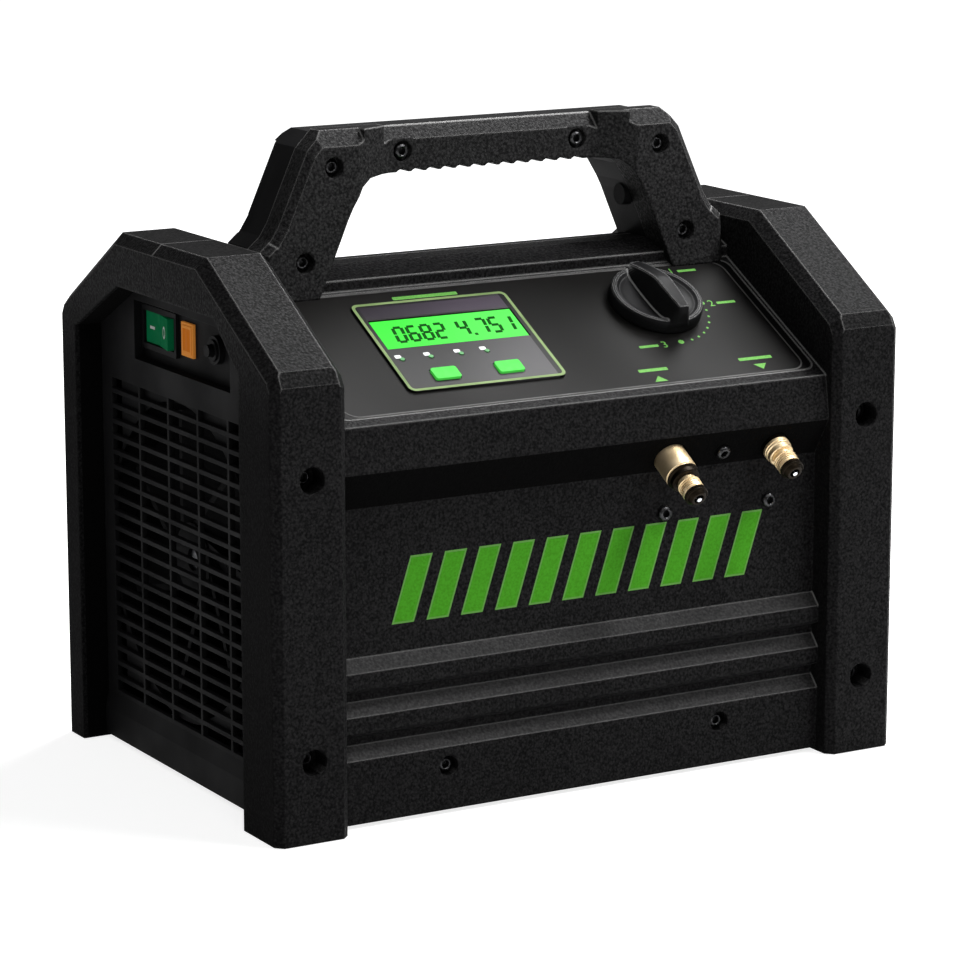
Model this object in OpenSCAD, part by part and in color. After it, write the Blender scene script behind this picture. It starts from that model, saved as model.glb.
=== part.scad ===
// Portable refrigerant recovery machine.
// Units are millimetres, +Z is up and the front faces -Y.
// Each sub-part is a node: set node to one of the names to draw it alone.

/* [Overall] */
// width over the two end frames
body_w = 380; // [360:1:420]
// depth over the two end frames
body_d = 256; // [250:1:280]
// height of the end frames above the ground
frame_h = 290; // [284:1:310]
// height of the handle above the end frames
handle_rise = 57; // [52:1:75]
// wall thickness of the housing mouldings
wall = 3; // [2.5:0.1:3.5]
// gap left between parts that do not touch
gap = 0.3; // [0.2:0.05:0.5]

/* [End frames] */
// thickness of an end frame across the width
frame_t = 42; // [40:1:46]
// height lost over the front shoulder slope
front_drop = 49; // [44:1:54]
// depth of the front shoulder slope
front_run = 83; // [78:1:88]
// height lost over the rear shoulder slope
rear_drop = 45; // [40:1:50]
// depth of the rear shoulder slope
rear_run = 72; // [66:1:78]
// width of the front leg seen from the side
leg_front = 38; // [35:1:42]
// width of the rear leg seen from the side
leg_rear = 21; // [19:1:24]
// height of the top bar seen from the side
top_bar = 28; // [26:1:32]
// depth of the side plate behind the outer face
plate_recess = 15.5; // [13:0.5:18]
// bevel along the sloped and top frame edges
frame_bevel = 6; // [4:0.5:8]
// bevel along the upright frame edges
leg_bevel = 4; // [3:0.5:5]
// length taken off each side of a shoulder corner
shoulder_cut = 5; // [3:0.5:7]
// gap between the ground and the sides between the legs
side_lift = 2; // [1:0.5:4]

/* [Front face] */
// how far the front face sits behind the end frames
face_setback = 18; // [16:0.5:20]
// how far the ledges stand out of the front face
ledge_out = 6; // [4:0.5:7]
// height of the lowest ledge shoulder
ledge_z = 36; // [34:0.5:40]
// pitch of the ledges
ledge_pitch = 23; // [21:0.5:24]
// height of the sloped top of each ledge
ledge_slope = 6.5; // [5:0.5:8]
// setback of the console lip behind the end frames
lip_setback = 9; // [8:0.5:10]
// drop of the console lip below the frame top
lip_drop = 79.5; // [76:0.5:82]
// height of the band under the lip
band_h = 23.5; // [21:0.5:26]
// height of the undercut strip under the band
strip_h = 21; // [19:0.5:23]
// tilt of the strip and its fittings below level
fitting_tilt = 31; // [29:0.5:33]

/* [Console] */
// slope of the console
panel_a = 27.7; // [26:0.1:29]
// length of the console up the slope
console_len = 110; // [108:0.5:114]
// thickness of the console panel
panel_t = 2; // [1.5:0.1:2.4]
// distance of the knob axis from the right inner wall
knob_in = 69; // [66:0.5:72]
// distance of the knob axis up the slope
knob_s = 72.7; // [70:0.1:75]
// radius of the knob skirt
knob_r = 26; // [22:0.5:27]
// height of the knob grip above the panel
knob_h = 21; // [17:0.5:24]
// radius of the selector spindle
spindle_r = 4; // [3.5:0.1:4.5]
// width of the display bezel
bezel_w = 94; // [90:0.5:98]
// height of the display bezel
bezel_h = 75; // [72:0.5:78]
// display bezel middle, from the left inner wall
bezel_in = 98; // [95:0.5:100]
// lower edge of the display bezel up the slope
bezel_s = 21.5; // [20:0.5:23]
// travel of a panel button
button_travel = 0.8; // [0.5:0.1:1]

/* [Handle] */
// how far the handle legs stand over the console top
handle_over = 4.4; // [3:0.2:6]
// depth of the handle legs
handle_d = 48; // [44:1:52]
// setback of the grip face behind the leg faces
grip_back = 11; // [9:0.5:12]
// depth of the front handle half
front_half = 18; // [16:0.5:20]
// thickness of the grip seen from the front
grip_t = 25.5; // [22:0.5:28]
// pitch of the finger ridges under the grip
ridge_pitch = 9; // [8:0.5:11]

/* [Side controls] */
// middle height of the switch pocket below the frame top
pocket_drop = 54; // [53:0.5:56]
// depth of the switch pocket
pocket_deep = 6; // [5:0.5:8]
// tilt of the rocker to each side
rocker_tilt = 6; // [4:0.5:8]
// travel of the breaker button
breaker_travel = 3; // [2:0.1:4]

/* [Fittings] */
// radius over the flare thread, a 1/2-20 thread
flare_r = 6.35; // [5.5:0.05:7]
// radius of the inlet filter barrel
barrel_r = 9; // [8:0.1:9.3]
// distance of the inlet fitting from the right inner wall
inlet_in = 97; // [94:0.5:100]
// distance of the outlet fitting from the right inner wall
outlet_in = 30.5; // [28:0.5:33]

/* [Fan] */
// gap between the fan blades and the shroud
fan_tip_gap = 5; // [3:0.5:8]
// number of fan blades
fan_blades = 7; // [5:1:9]

/* [Hidden] */
$fn = 48;
far = 600;

black = [0.07, 0.07, 0.075];
satin = [0.16, 0.16, 0.17];
green = [0.2, 0.75, 0.15];
brass = [0.8, 0.65, 0.35];
steel = [0.6, 0.62, 0.64];

// frame outline
xo = body_w / 2;
xi = xo - frame_t;
yf = -body_d / 2;
yr = body_d / 2;
front_a = atan2(front_drop, front_run);
rear_a = atan2(rear_drop, rear_run);
function front_shoulder(t) = frame_h - front_drop + t * tan(front_a) - t / cos(front_a);
function front_top(t) = yf + (front_drop - t + t / cos(front_a)) / tan(front_a);
function rear_shoulder(t) = frame_h - rear_drop + t * tan(rear_a) - t / cos(rear_a);
function rear_top(t) = yr - (rear_drop - t + t / cos(rear_a)) / tan(rear_a);
// outer outline, with the two shoulder corners cut
cut_f = shoulder_cut * [cos(front_a), sin(front_a)];
cut_r = shoulder_cut * [-cos(rear_a), sin(rear_a)];
frame_edge = [[yf, 0], [yf, front_shoulder(0) - shoulder_cut], [yf, front_shoulder(0)] + cut_f,
    [front_top(0), frame_h], [rear_top(0), frame_h], [yr, rear_shoulder(0)] + cut_r,
    [yr, rear_shoulder(0) - shoulder_cut], [yr, 0]];
// the same outline inset by t, with plain corners and its foot at zb
function frame_pts(t, zb) = [[yf + t, zb], [yf + t, front_shoulder(t)], [front_top(t), frame_h - t],
    [rear_top(t), frame_h - t], [yr - t, rear_shoulder(t)], [yr - t, zb]];

// opening of the hoop, grown by g
open_f = yf + leg_front;
open_r = yr - leg_rear;
open_t = frame_h - top_bar;
open_f_drop = 25;
open_f_run = 27;
open_r_drop = 29;
open_r_run = 54;
corner_k = 0.4;
function open_pts(g, zb) = [[open_f - g, zb], [open_f - g, open_t - open_f_drop + corner_k * g],
    [open_f + open_f_run - corner_k * g, open_t + g], [open_r - open_r_run + corner_k * g, open_t + g],
    [open_r + g, open_t - open_r_drop + corner_k * g], [open_r + g, zb]];

// body section between the end frames
floor_z = side_lift;
face_y = yf + face_setback;
ledge_y = face_y - ledge_out;
undercut_h = 3;
groove_h = 4.5;
lip_y = yf + lip_setback;
lip_z = frame_h - lip_drop;
band_z = lip_z - band_h;
strip_z = band_z - strip_h;
strip_in = strip_h * tan(fitting_tilt);
band_y = face_y - strip_in;
console_top_y = lip_y + console_len * cos(panel_a);
console_top_z = lip_z + console_len * sin(panel_a);
deck_drop = 16;
deck_z = frame_h - deck_drop;
riser_h = 6;
crest_f = console_top_y + 15.6;
crest_r = crest_f + 20;
seam_y = crest_r - 6;
rear_setback = 16;
rear_face = yr - rear_setback;
rear_slope_y = crest_r + 14;
rear_slope_z = deck_z - 8;
rear_edge_z = rear_slope_z - (rear_face - rear_slope_y) * tan(panel_a);
console_wall = 5;
knob_x = xi - knob_in;
bezel_x = bezel_in - xi;
function ledge_pts(k) = [[ledge_y, ledge_z + k * ledge_pitch],
    [face_y, ledge_z + k * ledge_pitch + ledge_slope],
    [face_y, ledge_z + k * ledge_pitch + ledge_slope + groove_h],
    [ledge_y, ledge_z + k * ledge_pitch + ledge_slope + groove_h + undercut_h]];
function top_ledge_pts(k) = [[ledge_y, ledge_z + k * ledge_pitch],
    [face_y, ledge_z + k * ledge_pitch + ledge_slope]];
body_front_pts = concat([[ledge_y, floor_z]], ledge_pts(0), ledge_pts(1), top_ledge_pts(2),
    [[face_y, strip_z], [band_y, band_z], [lip_y, lip_z], [console_top_y, console_top_z],
    [console_top_y, console_top_z + riser_h], [crest_f, deck_z]]);
body_rear_pts = [[crest_r, deck_z], [rear_slope_y, rear_slope_z], [rear_face, rear_edge_z],
    [rear_face, floor_z]];
inner_f = face_y + wall;
console_drop = console_wall / cos(panel_a);
inner_lip_y = lip_y + wall;
inner_lip_z = lip_z + wall * tan(panel_a) - console_drop;
inner_top_y = console_top_y + wall;
inner_top_z = console_top_z + wall * tan(panel_a) - console_drop;
cavity_pts = [[inner_f, floor_z + wall], [inner_f, strip_z + 1], [band_y + wall + 0.5, band_z + 1],
    [inner_lip_y, inner_lip_z], [inner_top_y, inner_top_z], [crest_f + 1, deck_z - wall],
    [crest_r - 1, deck_z - wall], [rear_slope_y - 2, rear_slope_z - wall],
    [rear_face - wall, rear_edge_z - wall], [rear_face - wall, floor_z + wall]];

// side plate planes
plate_out = xo - plate_recess;
plate_in = plate_out - wall;
plate_grow = 2.5;

// extrude a depth and height outline across the width
module across(x0, x1) translate([x0, 0, 0]) rotate([90, 0, 90]) linear_extrude(x1 - x0) children();
// extrude a width and height outline through the depth
module through(y0, y1) translate([0, y1, 0]) rotate([90, 0, 0]) linear_extrude(y1 - y0) children();
// place children on the console slope
module on_slope(x, s, h) translate([0, lip_y, lip_z]) rotate([panel_a, 0, 0]) translate([x, s, h]) children();
// copy children to both ends
module both() {
    children();
    mirror([1, 0, 0]) children();
}
// a cylinder along the depth, from y0 back to y1
module rod_y(x, z, r, y0, y1) translate([x, y1, z]) rotate([90, 0, 0]) cylinder(r = r, h = y1 - y0);
// a cylinder along the width, from x0 to x1
module rod_x(y, z, r, x0, x1) translate([x0, y, z]) rotate([0, 90, 0]) cylinder(r = r, h = x1 - x0);
// a box given by its low and high corners
module box(a, b) translate(a) cube(b - a);
// a flat rectangle with rounded corners, centred
module soft_rect(w, h, r) {
    square([w - 2 * r, h], center = true);
    square([w, h - 2 * r], center = true);
    for (i = [-1, 1], j = [-1, 1]) translate([i * (w / 2 - r), j * (h / 2 - r)]) circle(r = r);
}
// neighbouring bevels differ a little, so that no four planes meet in one point
bevel_step = 0.2;
function uneven(c, i) = c - (i % 2) * bevel_step;
cut_bevel = (leg_bevel + frame_bevel) / 2;
frame_bevels = [leg_bevel, cut_bevel, frame_bevel, frame_bevel - bevel_step, frame_bevel, cut_bevel,
    leg_bevel];
// a bar that takes a bevel of size c off the edge from p to q, on a plane of constant width facing side
module bevel_side(p, q, x, c, side) {
    d = q - p;
    bar = 3 * c;
    translate([x, p[0], p[1]]) rotate([atan2(d[1], d[0]), 0, 0])
        translate([0, norm(d) / 2, 0]) rotate([0, 45 * side, 0])
            translate([0, 0, bar / 2 - c / sqrt(2)]) cube([bar, norm(d) + c, bar], center = true);
}
// a bar that takes a bevel of size c off the edge from p to q, on a plane of constant depth facing side
module bevel_face(p, q, y, c, side) {
    d = q - p;
    bar = 3 * c;
    translate([p[0], y, p[1]]) rotate([0, -atan2(d[1], d[0]), 0])
        translate([norm(d) / 2, 0, 0]) rotate([-45 * side, 0, 0])
            translate([0, 0, bar / 2 - c / sqrt(2)]) cube([norm(d) + c, bar, bar], center = true);
}

// screws
screw_hole = 2 + gap;
head_r = 4.2;
head_h = 3;
sink_r = 5.5;
// a pan head screw pointing along +Z with its head below zero
module screw(len) difference() {
    union() {
        translate([0, 0, -head_h]) cylinder(r = head_r, h = head_h);
        cylinder(r = 2, h = len);
    }
    translate([0, 0, -head_h - 1]) cylinder(r = 2, h = head_h, $fn = 6);
}
module screw_at(x, y, z, len) translate([x, y, z]) rotate([-90, 0, 0]) screw(len);

// frame screws hold the side plates through the front legs
frame_screw_x = xo - frame_t / 2 - 0.5;
frame_screw_low = 42.5;
frame_screw_drop = 102;
frame_screw_z = [frame_screw_low, frame_h - frame_screw_drop];
frame_sink_r = 7;
cup_r = frame_sink_r + 2.5;
cup_deep = 12.5;
cup_floor = 3.2;
frame_seat_y = yf + cup_deep;
lug_y = frame_seat_y + cup_floor;
lug_r = 5.5;
frame_screw_len = 18;

// bottom screws tie the front half to the rear half
bottom_screw_x = xi - 64;
bottom_screw_z = 25.5;
bottom_sink = 6;
bottom_seat_y = ledge_y + bottom_sink;
bottom_len = 24;
pillar_r = 5;

// fittings and manifold
fit_k = 0.4;
fit_y = face_y - strip_in * fit_k;
fit_z = strip_z + strip_h * fit_k;
inlet_x = xi - inlet_in;
outlet_x = xi - outlet_in;
block_side = 13;
block_x0 = inlet_x - block_side;
block_x1 = outlet_x + block_side;
block_y0 = inner_f;
block_d = 36;
block_y1 = block_y0 + block_d;
block_low = 42;
block_high = 24;
block_z0 = fit_z - block_low;
block_z1 = fit_z + block_high;
manifold_mid_x = (inlet_x + outlet_x) / 2;
manifold_low_z = fit_z - 31;
fit_in = 14;
collar_r = 7.6;
// local +Z points out of the strip and down
module at_fitting(x) translate([x, fit_y, fit_z]) rotate([90 + fitting_tilt, 0, 0]) children();

// frame solid of the right end
module end_frame() {
    difference() {
        across(xi, xo) polygon(frame_edge);
        across(plate_out, xo + 1) polygon(open_pts(0, -1));
        box([xi - 1, open_f, -1], [xo + 1, open_r, side_lift]);
        for (i = [0 : len(frame_edge) - 2]) {
            bevel_side(frame_edge[i], frame_edge[i + 1], xo, frame_bevels[i], 1);
            bevel_side(frame_edge[i], frame_edge[i + 1], xi, frame_bevels[i], -1);
        }
    }
}
// room inside an end frame, with a seat for the side plate
frame_wall = wall + 4;
module end_cavity() {
    across(xi + wall, plate_in) polygon(frame_pts(frame_wall, side_lift + wall));
    across(plate_in, plate_out) polygon(open_pts(plate_grow, side_lift));
    difference() {
        across(plate_in - wall / 2, xo - frame_wall) polygon(frame_pts(frame_wall, side_lift + wall));
        across(plate_in, xo) polygon(open_pts(plate_grow + wall, -1));
    }
    for (z = frame_screw_z) rod_y(frame_screw_x, z, lug_r + gap, lug_y, open_f + lug_r);
}
module housing() {
    difference() {
        union() {
            across(-xi - 1, xi + 1) polygon(concat(body_front_pts, body_rear_pts));
            both() end_frame();
        }
        across(-xi - wall - 1, xi + wall + 1) polygon(cavity_pts);
        both() end_cavity();
    }
    both() for (z = frame_screw_z) rod_y(frame_screw_x, z, cup_r, yf + 1, lug_y);
}

module housing_front() color(black) {
    difference() {
        intersection() {
            housing();
            box([-far, -far, -1], [far, seam_y, far]);
        }
        both() for (z = frame_screw_z) {
            rod_y(frame_screw_x, z, frame_sink_r, yf - 1, frame_seat_y);
            rod_y(frame_screw_x, z, screw_hole, yf, lug_y + 1);
        }
        both() {
            rod_y(bottom_screw_x, bottom_screw_z, sink_r, ledge_y - 1, bottom_seat_y);
            rod_y(bottom_screw_x, bottom_screw_z, screw_hole, ledge_y, inner_f + 1);
        }
        on_slope(0, panel_mid, -panel_t) linear_extrude(panel_t + 1)
            soft_rect(panel_w + 2 * gap, panel_len + 2 * gap, panel_corner);
        on_slope(bezel_x, window_mid, -console_wall - 2) linear_extrude(console_wall + 2)
            soft_rect(window_w, window_h, 2);
        on_slope(knob_x, knob_s, -console_wall - 2) cylinder(r = neck_r + gap, h = console_wall + 2);
        at_fitting(inlet_x) translate([0, 0, -fit_in]) cylinder(r = barrel_r + gap, h = fit_in + 5);
        at_fitting(outlet_x) translate([0, 0, -fit_in]) cylinder(r = collar_r + gap, h = fit_in + 5);
        at_fitting(manifold_mid_x) translate([0, 0, -fit_in]) cylinder(r = screw_hole, h = fit_in + 5);
        for (x = [inlet_x, outlet_x]) rod_y(x, manifold_low_z, screw_hole, face_y - 1, inner_f + 1);
    }
}

module housing_rear() color(black) {
    difference() {
        union() {
            intersection() {
                housing();
                box([-far, seam_y, -1], [far, far, far]);
            }
            both() rod_y(bottom_screw_x, bottom_screw_z, pillar_r, inner_f, rear_face - 1);
        }
        both() rod_y(bottom_screw_x, bottom_screw_z, screw_hole, inner_f - 1, inner_f + bottom_len);
    }
}

// handle
handle_front_y = console_top_y - handle_over;
handle_rear_y = handle_front_y + handle_d;
handle_seam_y = handle_front_y + front_half;
grip_front_y = handle_front_y + grip_back;
handle_top = frame_h + handle_rise;
grip_under = handle_top - grip_t;
leg_foot_z = console_top_z - 8;
handle_side = [[xi - 43, handle_top], [xi - 33.5, handle_top - 10], [xi - 16.5, frame_h + 9],
    [xi - 12, frame_h + 2], [xi - 5, frame_h - 4], [xi - 3, leg_foot_z]];
// the opening narrows upwards and rounds into the grip
open_side = [[xi - 35.3, leg_foot_z - 1], [xi - 41, frame_h - 24], [xi - 50, frame_h - 3],
    [xi - 55.5, frame_h + 10], [xi - 58.5, grip_under - 15.5], [xi - 65, grip_under - 5],
    [xi - 71, grip_under - 1], [xi - 80, grip_under]];
function flip(pts) = [for (i = [len(pts) - 1 : -1 : 0]) [-pts[i][0], pts[i][1]]];
function inset_side(pts, t) = [for (p = pts) [p[0] - t, p[1] > handle_top - 1 ? p[1] - t : p[1]]];
grip_half = xi - 86;
module handle_outline(t) difference() {
    polygon(concat(inset_side(handle_side, t), flip(inset_side(handle_side, t))));
    polygon(concat(open_side, flip(open_side)));
}
top_bevel = 8;
side_bevel = 4;
grip_screw_x = xi - 94;
grip_screw_z = handle_top - 14.5;
leg_screws = [[xi - 47.5, handle_top - 19], [xi - 30, frame_h - 11]];
leg_sink = 6;
grip_sink = 3;
leg_screw_len = 24;
grip_screw_len = 14;
screw_spare = 2;
// a facet runs from the grip face out to each leg face
facet_drop = 15;
facet_x = xi - 60;
module handle_front() color(black) {
    difference() {
        through(handle_front_y, handle_seam_y) handle_outline(0);
        // grip face between the legs, with a facet out to each leg face
        translate([0, 0, grip_under - facet_drop]) linear_extrude(far) polygon([[-grip_half, grip_front_y],
            [grip_half, grip_front_y], [facet_x, handle_front_y - 1], [-facet_x, handle_front_y - 1]]);
        both() {
            for (i = [0 : len(handle_side) - 2])
                bevel_face(handle_side[i], handle_side[i + 1], handle_front_y, uneven(side_bevel, i), -1);
            bevel_face([facet_x - 2, handle_top], [handle_side[0][0], handle_top], handle_front_y, top_bevel,
                -1);
            for (p = leg_screws) {
                rod_y(p[0], p[1], sink_r, handle_front_y - 1, handle_front_y + leg_sink);
                rod_y(p[0], p[1], screw_hole, handle_front_y, handle_seam_y + 1);
            }
            rod_y(grip_screw_x, grip_screw_z, sink_r, grip_front_y - 1, grip_front_y + grip_sink);
            rod_y(grip_screw_x, grip_screw_z, screw_hole, grip_front_y, handle_seam_y + 1);
        }
        bevel_face([-grip_half, handle_top], [grip_half, handle_top], grip_front_y, top_bevel, -1);
        finger_ridges(grip_front_y - 1, handle_seam_y + 1);
        handle_seat();
    }
}
// grooves under the grip that leave the finger ridges
ridge_r = 5;
ridge_deep = 1.6;
ridge_half = floor((grip_half - ridge_r) / ridge_pitch);
module finger_ridges(y0, y1) for (i = [-ridge_half : ridge_half])
    rod_y(i * ridge_pitch, grip_under - ridge_r + ridge_deep, ridge_r, y0, y1);
module handle_seat() across(-far, far) polygon(concat(body_front_pts, body_rear_pts));
rear_inset = 2.5;
rear_bevel = 3;
boss_r = 6;
boss_x = xi - 58;
boss_len = 10;
boss_back = 7;
boss_z = frame_h + 8;
module handle_rear() color(black) {
    difference() {
        union() {
            through(handle_seam_y, handle_rear_y) handle_outline(rear_inset);
            both() rod_x(handle_seam_y + boss_back, boss_z, boss_r, boss_x, boss_x + boss_len);
        }
        both() {
            for (i = [1 : len(handle_side) - 2])
                bevel_face(handle_side[i] - [rear_inset, 0], handle_side[i + 1] - [rear_inset, 0],
                    handle_rear_y, uneven(rear_bevel, i), 1);
            for (p = leg_screws) rod_y(p[0], p[1], screw_hole, handle_seam_y - 1,
                handle_front_y + leg_sink + leg_screw_len + screw_spare);
            rod_y(grip_screw_x, grip_screw_z, screw_hole, handle_seam_y - 1,
                grip_front_y + grip_sink + grip_screw_len + screw_spare);
        }
        bevel_face([-handle_side[0][0], handle_top - rear_inset],
            [handle_side[0][0], handle_top - rear_inset], handle_rear_y, rear_bevel, 1);
        finger_ridges(handle_seam_y - 1, handle_rear_y + 1);
        handle_seat();
    }
}

// side plates
slot_pitch = 8.5;
slot_h = 6;
slot_z0 = 32;
slot_front = 7;
slot_back = 12.5;
slot_y0 = open_f + slot_front;
slot_y1 = open_r - slot_back;
slot_cols = 5;
col_w = (slot_y1 - slot_y0) / slot_cols;
slot_rib = 2.2;
pocket_y0 = open_f + 40;
pocket_y1 = open_r - 42.5;
pocket_z = frame_h - pocket_drop;
pocket_half = 16;
// the controls sit a little above the middle of their pocket, the socket a little below it
control_lift = 2;
control_z = pocket_z + control_lift;
inlet_z = pocket_z - control_lift;
pocket_out = plate_out - pocket_deep;
pocket_in = pocket_out - wall;
slot_top = pocket_z - pocket_half - 17;
slot_rows = floor((slot_top - slot_z0) / slot_pitch) + 1;
module plate_flat() difference() {
    polygon(open_pts(plate_grow, side_lift));
    for (j = [0 : slot_rows - 1], i = [0 : slot_cols - 1])
        translate([slot_y0 + i * col_w + slot_rib, slot_z0 + j * slot_pitch - slot_h / 2])
            square([col_w - slot_rib, slot_h]);
    pocket_hole(0);
}
module pocket_hole(g) translate([pocket_y0 - g, pocket_z - pocket_half - g])
    square([pocket_y1 - pocket_y0 + 2 * g, 2 * pocket_half + 2 * g]);
// the right plate with a sill along its foot; the left one is its mirror
sill_out = 2;
sill_z = 17.5;
sill_slope = 9;
lug_bore = 16;
module side_plate() difference() {
    union() {
        across(plate_in, plate_out) plate_flat();
        through(open_f + gap, open_r - gap) polygon([[plate_out - wall / 2, side_lift],
            [plate_out + sill_out, side_lift], [plate_out + sill_out, sill_z],
            [plate_out, sill_z + sill_slope],
            [plate_out - wall / 2, sill_z + sill_slope]]);
        across(pocket_in, plate_out) difference() {
            pocket_hole(wall);
            pocket_hole(0);
        }
        across(pocket_in, pocket_out) pocket_hole(1);
        for (z = frame_screw_z) rod_y(frame_screw_x, z, lug_r, lug_y, open_f + lug_r);
    }
    for (z = frame_screw_z) rod_y(frame_screw_x, z, screw_hole, lug_y - 1, lug_y + lug_bore);
}

// rocker switch in the left pocket
rocker_y = pocket_y1 - 22;
rocker_w = 35;
rocker_tall = 17;
switch_w = 42;
switch_tall = 24;
// the switch ends just short of the housing's end wall
switch_deep = pocket_out - xi - wall - 1;
switch_face = 2;
switch_rim = 2;
rocker_room = 14;
rocker_gap = 1;
pivot_in = 7;
pivot_r = 1.5;
pivot_clear = 0.05;
pivot_end = 0.8;
// distance from the rocker to the lamp
lamp_step = 33.5;
lamp_y = rocker_y - lamp_step;
lamp_w = 11;
lamp_tall = 15;
lamp_rim = 1.5;
lamp_out = 2;
lamp_in = 8;
// the breaker sits a little forward of the middle of the room that is left
breaker_ahead = 1;
breaker_y = (pocket_y0 + lamp_y - lamp_w / 2 - lamp_rim) / 2 - breaker_ahead;
breaker_r = 5.5;
nut_r = 7.6;
nut_h = 3;
push_r = 3.2;
push_out = 4;
push_in = 10;
breaker_deep = 14;
breaker_half_y = 12;
breaker_half_z = 10;
module grille_left() color(black) mirror([1, 0, 0]) difference() {
    side_plate();
    box([pocket_in - 1, rocker_y - switch_w / 2 + switch_rim, control_z - switch_tall / 2 + switch_rim],
        [pocket_out + 1, rocker_y + switch_w / 2 - switch_rim, control_z + switch_tall / 2 - switch_rim]);
    box([pocket_in - 1, lamp_y - lamp_w / 2 - gap, control_z - lamp_tall / 2 - gap],
        [pocket_out + 1, lamp_y + lamp_w / 2 + gap, control_z + lamp_tall / 2 + gap]);
    rod_x(breaker_y, control_z, breaker_r + gap, pocket_in - 1, pocket_out + 1);
}
module switch_body(g)
    box([pocket_out - switch_deep, rocker_y - switch_w / 2 + g, control_z - switch_tall / 2 + g],
        [pocket_out + switch_face, rocker_y + switch_w / 2 - g, control_z + switch_tall / 2 - g]);
module rocker_frame() color(black) mirror([1, 0, 0]) difference() {
    union() {
        box([pocket_out, rocker_y - switch_w / 2, control_z - switch_tall / 2],
            [pocket_out + switch_face, rocker_y + switch_w / 2, control_z + switch_tall / 2]);
        switch_body(switch_rim + gap);
    }
    box([pocket_out - rocker_room, rocker_y - rocker_w / 2 - rocker_gap, control_z - rocker_tall / 2 - gap],
        [pocket_out + rocker_room, rocker_y + rocker_w / 2 + rocker_gap, control_z + rocker_tall / 2 + gap]);
    translate([pocket_out - pivot_in, rocker_y, control_z - rocker_tall / 2 - 1])
        cylinder(r = pivot_r + pivot_clear, h = rocker_tall + 2);
}
// wedge of the rocker seen from above, square to the switch face
rocker_high = 9.6;
rocker_low = 8;
rocker_back = 2;
rocker_heel = 4;
rocker_end = rocker_w / 2 - 1;
module rocker() color(green) mirror([1, 0, 0]) translate([pocket_out - pivot_in, rocker_y, control_z])
    rotate([0, 0, rocker_tilt]) {
        translate([0, 0, -rocker_tall / 2]) linear_extrude(rocker_tall)
            polygon([[-rocker_back, -rocker_heel], [-rocker_back, rocker_heel], [rocker_heel, rocker_end],
                [rocker_high, rocker_end], [rocker_low, 0], [rocker_high, -rocker_end],
                [rocker_heel, -rocker_end]]);
        translate([0, 0, -rocker_tall / 2 - pivot_end])
            cylinder(r = pivot_r, h = rocker_tall + 2 * pivot_end);
    }
module lamp_lens() color([1, 0.55, 0.1]) mirror([1, 0, 0]) {
    box([pocket_out, lamp_y - lamp_w / 2 - lamp_rim, control_z - lamp_tall / 2 - lamp_rim],
        [pocket_out + lamp_rim, lamp_y + lamp_w / 2 + lamp_rim, control_z + lamp_tall / 2 + lamp_rim]);
    box([pocket_in - lamp_in, lamp_y - lamp_w / 2, control_z - lamp_tall / 2],
        [pocket_out + lamp_out, lamp_y + lamp_w / 2, control_z + lamp_tall / 2]);
}
module breaker_body() color(black) mirror([1, 0, 0]) difference() {
    union() {
        rod_x(breaker_y, control_z, breaker_r, pocket_in - 2, pocket_out + nut_h + 1);
        box([pocket_in - breaker_deep, breaker_y - breaker_half_y, control_z - breaker_half_z],
            [pocket_in, breaker_y + breaker_half_y, control_z + breaker_half_z]);
    }
    rod_x(breaker_y, control_z, push_r + gap, pocket_in - push_in, pocket_out + far);
}
module breaker_nut() color(black) mirror([1, 0, 0]) difference() {
    rod_x(breaker_y, control_z, nut_r, pocket_out, pocket_out + nut_h);
    rod_x(breaker_y, control_z, breaker_r + gap, pocket_out - 1, pocket_out + nut_h + 1);
}
module breaker_button() color(black) mirror([1, 0, 0])
    rod_x(breaker_y, control_z, push_r, pocket_in - push_in + breaker_travel, pocket_out + nut_h + push_out);

// power inlet in the right pocket
inlet_y = pocket_y1 - 44.5;
inlet_w = 28;
inlet_tall = 20.5;
flange_w = 50;
flange_tall = 25;
flange_t = 3;
socket_w = 24.5;
socket_tall = 16.8;
socket_deep = 17;
inlet_deep = 22;
module grille_right() color(black) difference() {
    side_plate();
    box([pocket_in - 1, inlet_y - inlet_w / 2 - gap, inlet_z - inlet_tall / 2 - gap],
        [pocket_out + 1, inlet_y + inlet_w / 2 + gap, inlet_z + inlet_tall / 2 + gap]);
}
module power_inlet() color(black) difference() {
    union() {
        box([pocket_out, inlet_y - flange_w / 2, inlet_z - flange_tall / 2],
            [pocket_out + flange_t, inlet_y + flange_w / 2, inlet_z + flange_tall / 2]);
        box([pocket_out - inlet_deep, inlet_y - inlet_w / 2, inlet_z - inlet_tall / 2],
            [pocket_out + flange_t, inlet_y + inlet_w / 2, inlet_z + inlet_tall / 2]);
    }
    box([pocket_out + flange_t - socket_deep, inlet_y - socket_w / 2, inlet_z - socket_tall / 2],
        [pocket_out + flange_t + 1, inlet_y + socket_w / 2, inlet_z + socket_tall / 2]);
}
pin_pitch = 7;
pin_step = 4;
pin_half_w = 1;
pin_half_h = 2;
pin_short = 2;
pin_places = [[-pin_pitch, -pin_step / 2], [0, pin_step / 2], [pin_pitch, -pin_step / 2]];
module inlet_pins() color(steel) for (p = pin_places)
    box([pocket_out + flange_t - socket_deep, inlet_y + p[0] - pin_half_w, inlet_z + p[1] - pin_half_h],
        [pocket_out + flange_t - pin_short, inlet_y + p[0] + pin_half_w, inlet_z + p[1] + pin_half_h]);

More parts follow.
